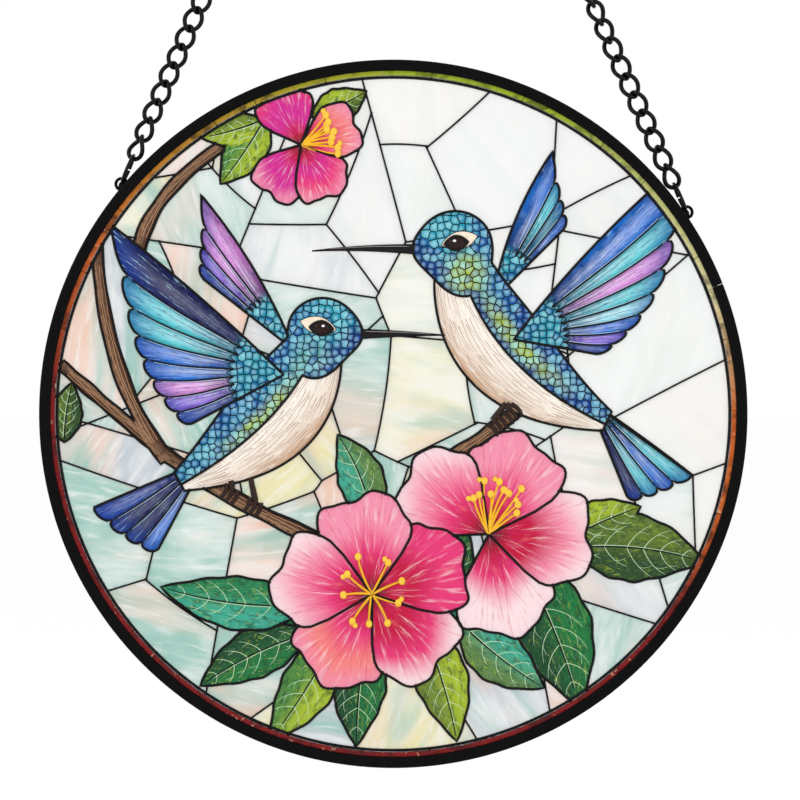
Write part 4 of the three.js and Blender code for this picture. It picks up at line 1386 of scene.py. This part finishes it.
class MakeRim(Maker):
    """Black channel round the panel with its butted seam and two soldered loops"""
    bl_idname = "suncatcher.make_rim"
    bl_label = "Rim"

    def make(self):
        s, g = sizes(), gear()
        half, soft = RIM_DEPTH / 2, RIM_ROUNDING
        inner, groove = PANEL_RADIUS - s.rim_face, half - s.rim_wall
        deep = PANEL_RADIUS - s.rim_wall
        turn = np.radians(np.linspace(0, 90, 4))
        face = [(inner + soft - soft * math.cos(a), half - soft + soft * math.sin(a)) for a in turn]
        face += [(PANEL_RADIUS - soft + soft * math.sin(a), half - soft + soft * math.cos(a)) for a in turn]
        section = [(inner, groove), *face, *[(r, -z) for r, z in reversed(face)], (inner, -groove),
                   (deep, -groove), (deep, groove)]
        gap = math.degrees(s.seam_gap / 2 / PANEL_RADIUS)
        stations = []
        for share in np.arange(RING_STEPS + 1) / RING_STEPS:
            angle = s.seam_angle + gap + (360 - 2 * gap) * share
            lift = s.seam_lift * max(0.0, 1 - share * 360 / SEAM_RUN)
            stations.append([(*polar(angle, r), z + (lift if z > 0 else 0)) for r, z in section])
        points, faces = sweep(stations, False)
        mesh = new_mesh("rim", to_frame(points), faces=faces)
        tidy_normals(mesh)
        for angle in (g.loop_left, g.loop_right):
            points, faces = wire_ring(g.loop_radius, g.thin_wire / 2, 28, 10)
            points[:, :2] += polar(angle, PANEL_RADIUS + g.loop_standoff)
            append_body(mesh, points, faces)
            add_blob(mesh, polar(angle, PANEL_RADIUS - 0.1), SOLDER_LUMP)
        smooth_by_angle(mesh)
        keep(new_object("rim", mesh, metal("rim")), "rim", "frame_ring")


# The colours of the border glass round the panel, each with its place in degrees
BORDER_COLOURS = ((0, "amber"), (20, "lemon"), (60, "lime"), (90, "lime"), (150, "amber"), (175, "ruby"),
                  (290, "ruby"), (325, "ruby"), (345, "amber"), (360, "amber"))
BORDER_FIT = 0.05


class MakeBorder(Maker):
    """Ring of ruby, amber and lime glass between the rim and the outer lead line"""
    bl_idname = "suncatcher.make_border"
    bl_label = "Border glass"

    def make(self):
        inner, outer, half = LEAD_RADIUS + BORDER_FIT, GROOVE_RADIUS - BORDER_FIT, GLASS / 2
        section = ((inner, half), (outer, half), (outer, -half), (inner, -half))
        points, faces = sweep([[(*polar(360 * k / RING_STEPS, r), z) for r, z in section]
                               for k in range(RING_STEPS)], True)
        mesh = new_mesh("border_ring", to_frame(points), faces=faces)
        tidy_normals(mesh)
        places, names = zip(*BORDER_COLOURS)
        stops = np.array([tone(n) for n in names])
        co = np.array([v.co for v in mesh.vertices]) - np.array(PANEL_CENTER)
        angle = np.degrees(np.arctan2(co[:, 2], co[:, 0])) % 360
        colours = np.stack([np.interp(angle, places, stops[:, c]) for c in range(3)], 1)
        write_attribute(mesh, "tint", "FLOAT_COLOR", "POINT", colours)
        smooth_by_angle(mesh)
        keep(new_object("border_ring", mesh, border_finish()), "border_glass", "border_glass")


# How far the background's colours reach: white from the upper right, tinted towards the lower left
TINT_SLOPE, TINT_SHIFT, TINT_FADE, MOST_BLANK = 0.9, 18, 85, 0.9


class MakeBackground(Maker):
    """White opalescent panes between the figures"""
    bl_idname = "suncatcher.make_background"
    bl_label = "Background panes"

    def make(self):
        net = panel()
        tints = [tone(n) for n in ("mint", "lemon", "mint", "peach", "lilac", "mint", "lilac")]

        def field(corners, panes):
            tint, grain = np.zeros((len(corners), 3)), np.zeros((len(corners), 2))
            veil = np.zeros(len(corners))
            for order, pane in enumerate(np.unique(panes)):
                mine = panes == pane
                middle = corners[mine].mean(0)
                pick = int((scatter(order + 2) + 0.5) * len(tints)) % len(tints)
                upper_right = middle[0] * TINT_SLOPE + middle[1] + TINT_SHIFT
                blank = np.clip(upper_right / TINT_FADE, 0.0, MOST_BLANK)
                tint[mine] = tints[pick] + (tone("white") - tints[pick]) * blank
                veil[mine] = 1 - blank
                turn = math.pi * scatter(order + 23)
                c, s = math.cos(turn), math.sin(turn)
                place = corners[mine] @ np.array(((c, -s), (s, c))) * 0.045
                grain[mine] = place + 9 * scatter(order + 57)
            return tint, grain, veil

        nodes = [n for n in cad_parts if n.startswith("background_")]
        piece = pane_piece("background_panes", net.label == "background", opal_finish(), field)
        keep(piece, "opal_glass", *nodes)


# Each kind of figure: how its glass is finished, and its slot
FINISH_OF = {"leaf": (lambda: streaked_finish("leaf_glass", 0.12, 0.35), "leaf_glass"),
             "petal": (lambda: streaked_finish("petal_glass", 0.15, 0.5), "pink_glass"),
             "feather": (feather_finish, "blue_glass"), "plumage": (plumage_finish, "teal_glass"),
             "down": (lambda: streaked_finish("down_glass", 0.1, 0.5), "cream_glass"),
             "bark": (bark_finish, "bark_glass")}


def nodes_of(pane):
    """The frame's nodes that a pane's piece stands for."""
    if pane.endswith("_head_and_back"):
        bird_name = pane[:-len("_head_and_back")]
        return [f"{bird_name}_head", f"{bird_name}_back"]
    return [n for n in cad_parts
            if n == pane or (n.startswith(pane + "_") and n[len(pane) + 1:].isdigit())]


def make_panes(kinds):
    net = panel()
    for pane in dict.fromkeys(f.pane for f in net.figures if f.finish in kinds):
        kind = next(f.finish for f in net.figures if f.pane == pane)
        finish, slot = FINISH_OF[kind]
        if pane.startswith("top_blossom"):
            slot = "rose_glass"
        if pane.endswith(("_far_wing", "_tail")):
            slot = "navy_glass"
        chosen = net.label == pane
        if chosen.any():
            keep(pane_piece(pane + "_glass", chosen, finish()), slot, *nodes_of(pane))


class MakeBirds(Maker):
    """Glass of the two birds: heads and backs, bellies, wings and tails"""
    bl_idname = "suncatcher.make_birds"
    bl_label = "Birds"

    def make(self):
        make_panes(("plumage", "feather", "down"))


class MakeBlossoms(Maker):
    """Glass of the three blossoms"""
    bl_idname = "suncatcher.make_blossoms"
    bl_label = "Blossoms"

    def make(self):
        make_panes(("petal",))


class MakeLeaves(Maker):
    """Glass of the leaves and the branches"""
    bl_idname = "suncatcher.make_leaves"
    bl_label = "Leaves and branches"

    def make(self):
        make_panes(("leaf", "bark"))


SOLDER_DOTS = 1.45  # width of a solder dot over that of its lead


class MakeLead(Maker):
    """Lead lines round the figures and between the panes"""
    bl_idname = "suncatcher.make_lead"
    bl_label = "Leadwork"

    def make(self):
        net = panel()
        for name, edges, width in (("figure_lead", net.contours, sizes().contour),
                                   ("pane_lead", net.seams, sizes().line)):
            used = sorted({v for edge in edges for v in edge})
            index = {v: i for i, v in enumerate(used)}
            points = np.column_stack((net.points[used], np.zeros(len(used))))
            mesh = edge_mesh(name, points, [(index[a], index[b]) for a, b in edges],
                             np.full(len(used), width / 2))
            piece = beads(name, mesh, metal("lead"), LEAD_DEPTH / width, 12, SOLDER_DOTS)
            keep(piece, "lead", "lead_lines")


BORDER_TICKS = 26


class MakeTicks(Maker):
    """Short lead lines across the border glass"""
    bl_idname = "suncatcher.make_ticks"
    bl_label = "Border ticks"

    def make(self):
        ends = np.array((LEAD_RADIUS - 0.3, PANEL_RADIUS - sizes().rim_face + 0.3))
        half = sizes().quill / 2
        ticks = [(polar(360 * (k + 0.7 * scatter(k + 3)) / BORDER_TICKS, ends), half, half, 0.0)
                 for k in range(BORDER_TICKS)]
        strokes("border_ticks", ticks, metal("lead"), "lead", (GLASS + 0.4) / (2 * half))


# Each kind of fine line: its piece's name, its colour, its height over its width, and its slot
LINE_STYLES = {
    "quill": ("quills", (12, 12, 18), 1.0, "lead"),
    "gleam": ("quill_gleams", (205, 232, 250), 1.0, "blue_glass"),
    "barb": ("feather_barbs", (16, 34, 110), 0.7, "blue_glass"),
    "vein": ("leaf_veins", (206, 234, 190), 0.8, "leaf_glass"),
    "fold": ("petal_folds", (206, 44, 110), 0.6, "pink_glass"),
    "hair": ("belly_hairs", (158, 116, 88), 0.6, "cream_glass"),
    "grain": ("bark_grain", (196, 150, 112), 0.7, "bark_glass"),
}
BACK_LINES = ("quill",)


class MakeLines(Maker):
    """Fine raised lines: quills, veins, folds, belly hairs and bark grain"""
    bl_idname = "suncatcher.make_lines"
    bl_label = "Painted lines"

    def make(self):
        net = panel()
        found = {}
        for figure in net.figures:
            for kind, line, first, last in figure.lines:
                if kind == "quill":
                    first, last = first * sizes().quill, last * sizes().quill
                widths = np.linspace(first, last, len(line)) / 2
                for run in net.visible(figure, line):
                    found.setdefault(kind, []).append((line[run], widths[run[0]], widths[run[-1]], 0.0))
        for kind, lines in found.items():
            name, shade, height, slot = LINE_STYLES[kind]
            for side, lift in (("front", GLASS / 2), ("back", -GLASS / 2)):
                if side == "front" or kind in BACK_LINES:
                    strokes(f"{name}_{side}", lines, enamel(name, *shade), slot, height, 6, lift)


# Each leg: where it perches, the heading of the branch there, its length and its lean
LEGS = ((-46.6, -22.8, -29, 2, 100), (-40, -26.4, -27, 6.4, 102), (29.4, -3.6, 38, 6.2, 52),
        (33.6, -0.2, 41, 1.8, 60))
BILL_HALF_WIDTHS = (1.5, 0.2)

# Half length, half height and tilt of the brow and the eyelid, and the radii of the eye and its glint
BROW, EYELID = (5.2, 2.5, -14), (3.7, 2.35, -6)
EYE, GLINT = (2.35, 1.65, 0.62), (0.5, 0.36, 0.25)
TOE_SPACING = 1.7


class MakeFaces(Maker):
    """Bills, eyes and feet of the birds"""
    bl_idname = "suncatcher.make_faces"
    bl_label = "Bills, eyes and feet"

    def make(self):
        black, front = enamel("bill_black", 9, 8, 9, 0.22), GLASS / 2
        bills, edges, rings = [], [], []
        eyes, glints, lids, brows = (
            bpy.data.meshes.new(name) for name in ("eyes", "eye_glints", "eyelids", "brows"))
        for name in HEADS:
            head, radius, tip, bow, facing = head_of(name)
            root = head + np.array((facing * 1.1 * radius, -0.1 * radius))
            path = bend(root, (root + tip) / 2 + np.array((0, bow)), tip, np.linspace(0, 1, 24))
            bills.append((path, *BILL_HALF_WIDTHS, 0.0))
            # A pale line along the top of each bill: a painted highlight
            lift = 0.7 * (1 - np.linspace(0, 1, len(path))) + 0.05
            edges.append((path[1:-4] + np.stack((0 * lift, lift), 1)[1:-4], 0.1, 0.04, 0.75))
            eye = head + np.array((-facing * 0.3, 0.07 * radius))
            stripe = almond(eye + np.array((-facing * 0.9, 0.75)), *BROW, facing)
            add_plate(brows, stripe, front - 0.1, front + 0.14)
            rings.append((stripe, 0.15, 0.15, 0.0))
            add_plate(lids, almond(eye, *EYELID, facing), front - 0.1, front + 0.3)
            add_blob(eyes, eye, EYE, front + 0.28)
            add_blob(glints, eye + np.array((facing * 0.5, 0.62)), GLINT, front + 0.8)
        for side, lift in (("front", front), ("back", -front)):
            strokes(f"bills_{side}", bills, black, "lead", 0.7, 14, lift, ("lead_lines",))
        strokes("bill_highlights", edges, enamel("bill_highlight", 170, 160, 156), "lead", 1.0, 6, front)
        strokes("eye_rims", rings, black, "lead", 1.2, 8, front)
        for mesh, shade, slot in ((eyes, enamel("eye_brown", 34, 12, 8, 0.08), "lead"),
                                  (lids, black, "lead"),
                                  (brows, enamel("brow_cream", 244, 226, 204), "cream_glass"),
                                  (glints, enamel("eye_glint", 250, 250, 250, 0.1), "opal_glass")):
            smooth_by_angle(mesh)
            keep(new_object(mesh.name, mesh, shade), slot)
        toes = []
        for x, y, heading, leg, lean in LEGS:
            perch, up = at(x, y), polar(heading + 90, 1.0)
            for k in (-1, 0, 1):
                knuckle = perch + polar(heading, TOE_SPACING * k)
                toe = bend(knuckle + 2.3 * up, knuckle + polar(heading, 1.2), knuckle - 2.2 * up,
                           np.linspace(0, 1, 9))
                toes.append((toe, 0.78, 0.5, 0.0))
            ankle = perch + 2.2 * up
            toes.append((ankle + polar(lean, np.linspace(0, leg, 7)), 0.95, 0.8, 0.0))
        strokes("feet", toes, enamel("foot_brown", 44, 26, 20), "bark_glass", 1.0, 8, front)


STALK_HALF_WIDTHS = (0.42, 0.26)
ANTHER, SMALL_ANTHER = (1.0, 1.15, 0.62), (0.75, 0.8, 0.5)

# Each blossom's stamens: where they spring from, their count and reach, and their first angle and span
STAMENS = (((-6, -51), 9, 12, -60, 330), ((27, -34), 10, 16, 38, 74), ((-26, 76), 8, 13, -14, 64))


class MakeStamens(Maker):
    """Raised gold stamens with round anthers"""
    bl_idname = "suncatcher.make_stamens"
    bl_label = "Stamens"

    def make(self):
        front, stalks = GLASS / 2, []
        balls = bpy.data.meshes.new("anthers")
        for (x, y), count, reach, start, span in STAMENS:
            root = at(x, y)
            for k in range(count):
                angle = start + span * (k + 0.3 * scatter(k + x)) / max(count - 1, 1)
                length = reach * DRAWN * (0.82 + 0.4 * scatter(k * 5 + x))
                end = root + polar(angle, length)
                lean = root + polar(angle + 22 * scatter(k + 2 * y), length * 0.55)
                stalks.append((bend(root, lean, end, np.linspace(0, 1, 12)), *STALK_HALF_WIDTHS, 0.15))
                add_blob(balls, end, ANTHER, front + 0.25)
                if k % 2:
                    add_blob(balls, end + polar(angle + 70, 1.4), SMALL_ANTHER, front + 0.25)
        strokes("stamens", stalks, enamel("stamen_gold", 244, 182, 40, 0.25), "pink_glass", 1.0, 8, front)
        balls.shade_smooth()
        keep(new_object("anthers", balls, enamel("anther_gold", 250, 200, 66)), "pink_glass")


NESTING = 0.98  # how far one link lies in the next, as a share of the wire
JUMP_CUT = (2, 357)  # the part of the circle that a jump ring's wire fills, degrees
JUMP_PLAY = 0.2  # room between the wires of a loop and its jump ring, mm
SLACK = {"left": 12, "right": 70}  # how far the links of each chain turn about it, degrees
END_TURN = 45


class MakeGear(Maker):
    """Jump rings, the two chains of twisted links and the ring they hang from"""
    bl_idname = "suncatcher.make_gear"
    bl_label = "Hanging gear"

    def make(self):
        g = gear()
        ring_center = np.array((0.0, RING_HEIGHT))
        ring_radius = RING_OUTER - g.ring_wire / 2
        jump_low = g.loop_radius - g.thin_wire - JUMP_PLAY
        for side, angle in (("left", g.loop_left), ("right", g.loop_right)):
            foot = polar(angle, PANEL_RADIUS + g.loop_standoff)
            along = ring_center - foot
            lean = (Matrix.Translation((*foot, 0))
                    @ Matrix.Rotation(math.atan2(along[1], along[0]) - math.pi / 2, 4, "Z"))
            points, faces = wire_ring(g.jump_radius, g.thin_wire / 2, 44, 12, *JUMP_CUT)
            jump = new_mesh(f"jump_ring_{side}_wire", points, faces=faces)
            tidy_normals(jump)
            jump.transform(lean @ Matrix.Translation((0, jump_low + g.jump_radius, 0))
                           @ Matrix.Rotation(math.pi / 2, 4, "Y"))
            smooth_by_angle(jump)
            keep(new_object(jump.name, stand(jump), metal("chain")), "chain", f"jump_ring_{side}")

            start = jump_low + 2 * g.jump_radius - g.thin_wire / 2 - g.wire / 2
            stop = np.linalg.norm(along) - ring_radius + g.ring_wire / 2 + g.wire / 2
            count = max(2, round((stop - start) / g.pitch))
            nested = g.wire * NESTING
            reach = (stop - start + (count - 1) * nested) / count
            heights = start + np.arange(count) * (reach - nested) + reach / 2
            share = np.arange(count) / (count - 1)
            ends = END_TURN * np.abs(2 * share - 1) ** 8
            turn = ends + SLACK[side] * np.sin(np.pi * share) ** 2 * np.cos(9 * share)
            mesh = new_mesh(f"chain_{side}_points", [(0, h, 0) for h in heights])
            write_attribute(mesh, "turn", "FLOAT", "POINT", -np.radians(turn))
            links = run_tree(f"chain_{side}_links", mesh, link_tree(), {
                "Length": reach, "Width": g.link_width - g.wire, "Wire": g.wire / 2,
                "Twist": math.radians(g.twist), "Material": metal("chain")})
            links.transform(lean)
            keep(new_object(links.name, stand(links)), "chain", f"chain_{side}")
        points, faces = wire_ring(ring_radius, g.ring_wire / 2, 72, 18)
        points[:, 1] += RING_HEIGHT
        ring = new_mesh("hanging_ring_wire", points, faces=faces)
        tidy_normals(ring)
        ring.shade_smooth()
        keep(new_object(ring.name, stand(ring), metal("chain")), "chain", "hanging_ring")


OPERATORS = (MakeStage, MakeRim, MakeBorder, MakeBackground, MakeBirds, MakeBlossoms, MakeLeaves,
             MakeLead, MakeTicks, MakeLines, MakeFaces, MakeStamens, MakeGear)


class SuncatcherPanel(bpy.types.Panel):
    """Lists the suncatcher's operators and settings"""
    bl_idname = "VIEW3D_PT_suncatcher"
    bl_label = "Suncatcher"
    bl_space_type = "VIEW_3D"
    bl_region_type = "UI"
    bl_category = "Suncatcher"

    def draw(self, context):
        for operator in OPERATORS:
            self.layout.operator(operator.bl_idname)
        for group in (sizes(), gear(), context.scene.suncatcher_colours):
            box = self.layout.box()
            for name in group.__annotations__:
                box.prop(group, name)


CLASSES = (SuncatcherSizes, SuncatcherGear, SuncatcherColours, *OPERATORS, SuncatcherPanel)


def register():
    for each in CLASSES:
        bpy.utils.register_class(each)
    bpy.types.Scene.suncatcher_sizes = PointerProperty(type=SuncatcherSizes)
    bpy.types.Scene.suncatcher_gear = PointerProperty(type=SuncatcherGear)
    bpy.types.Scene.suncatcher_colours = PointerProperty(type=SuncatcherColours)


def unregister():
    for name in ("suncatcher_sizes", "suncatcher_gear", "suncatcher_colours"):
        delattr(bpy.types.Scene, name)
    for each in reversed(CLASSES):
        bpy.utils.unregister_class(each)


def main():
    register()
    for operator in OPERATORS:
        group, name = operator.bl_idname.split(".")
        getattr(getattr(bpy.ops, group), name)()


if __name__ == "__main__":
    main()
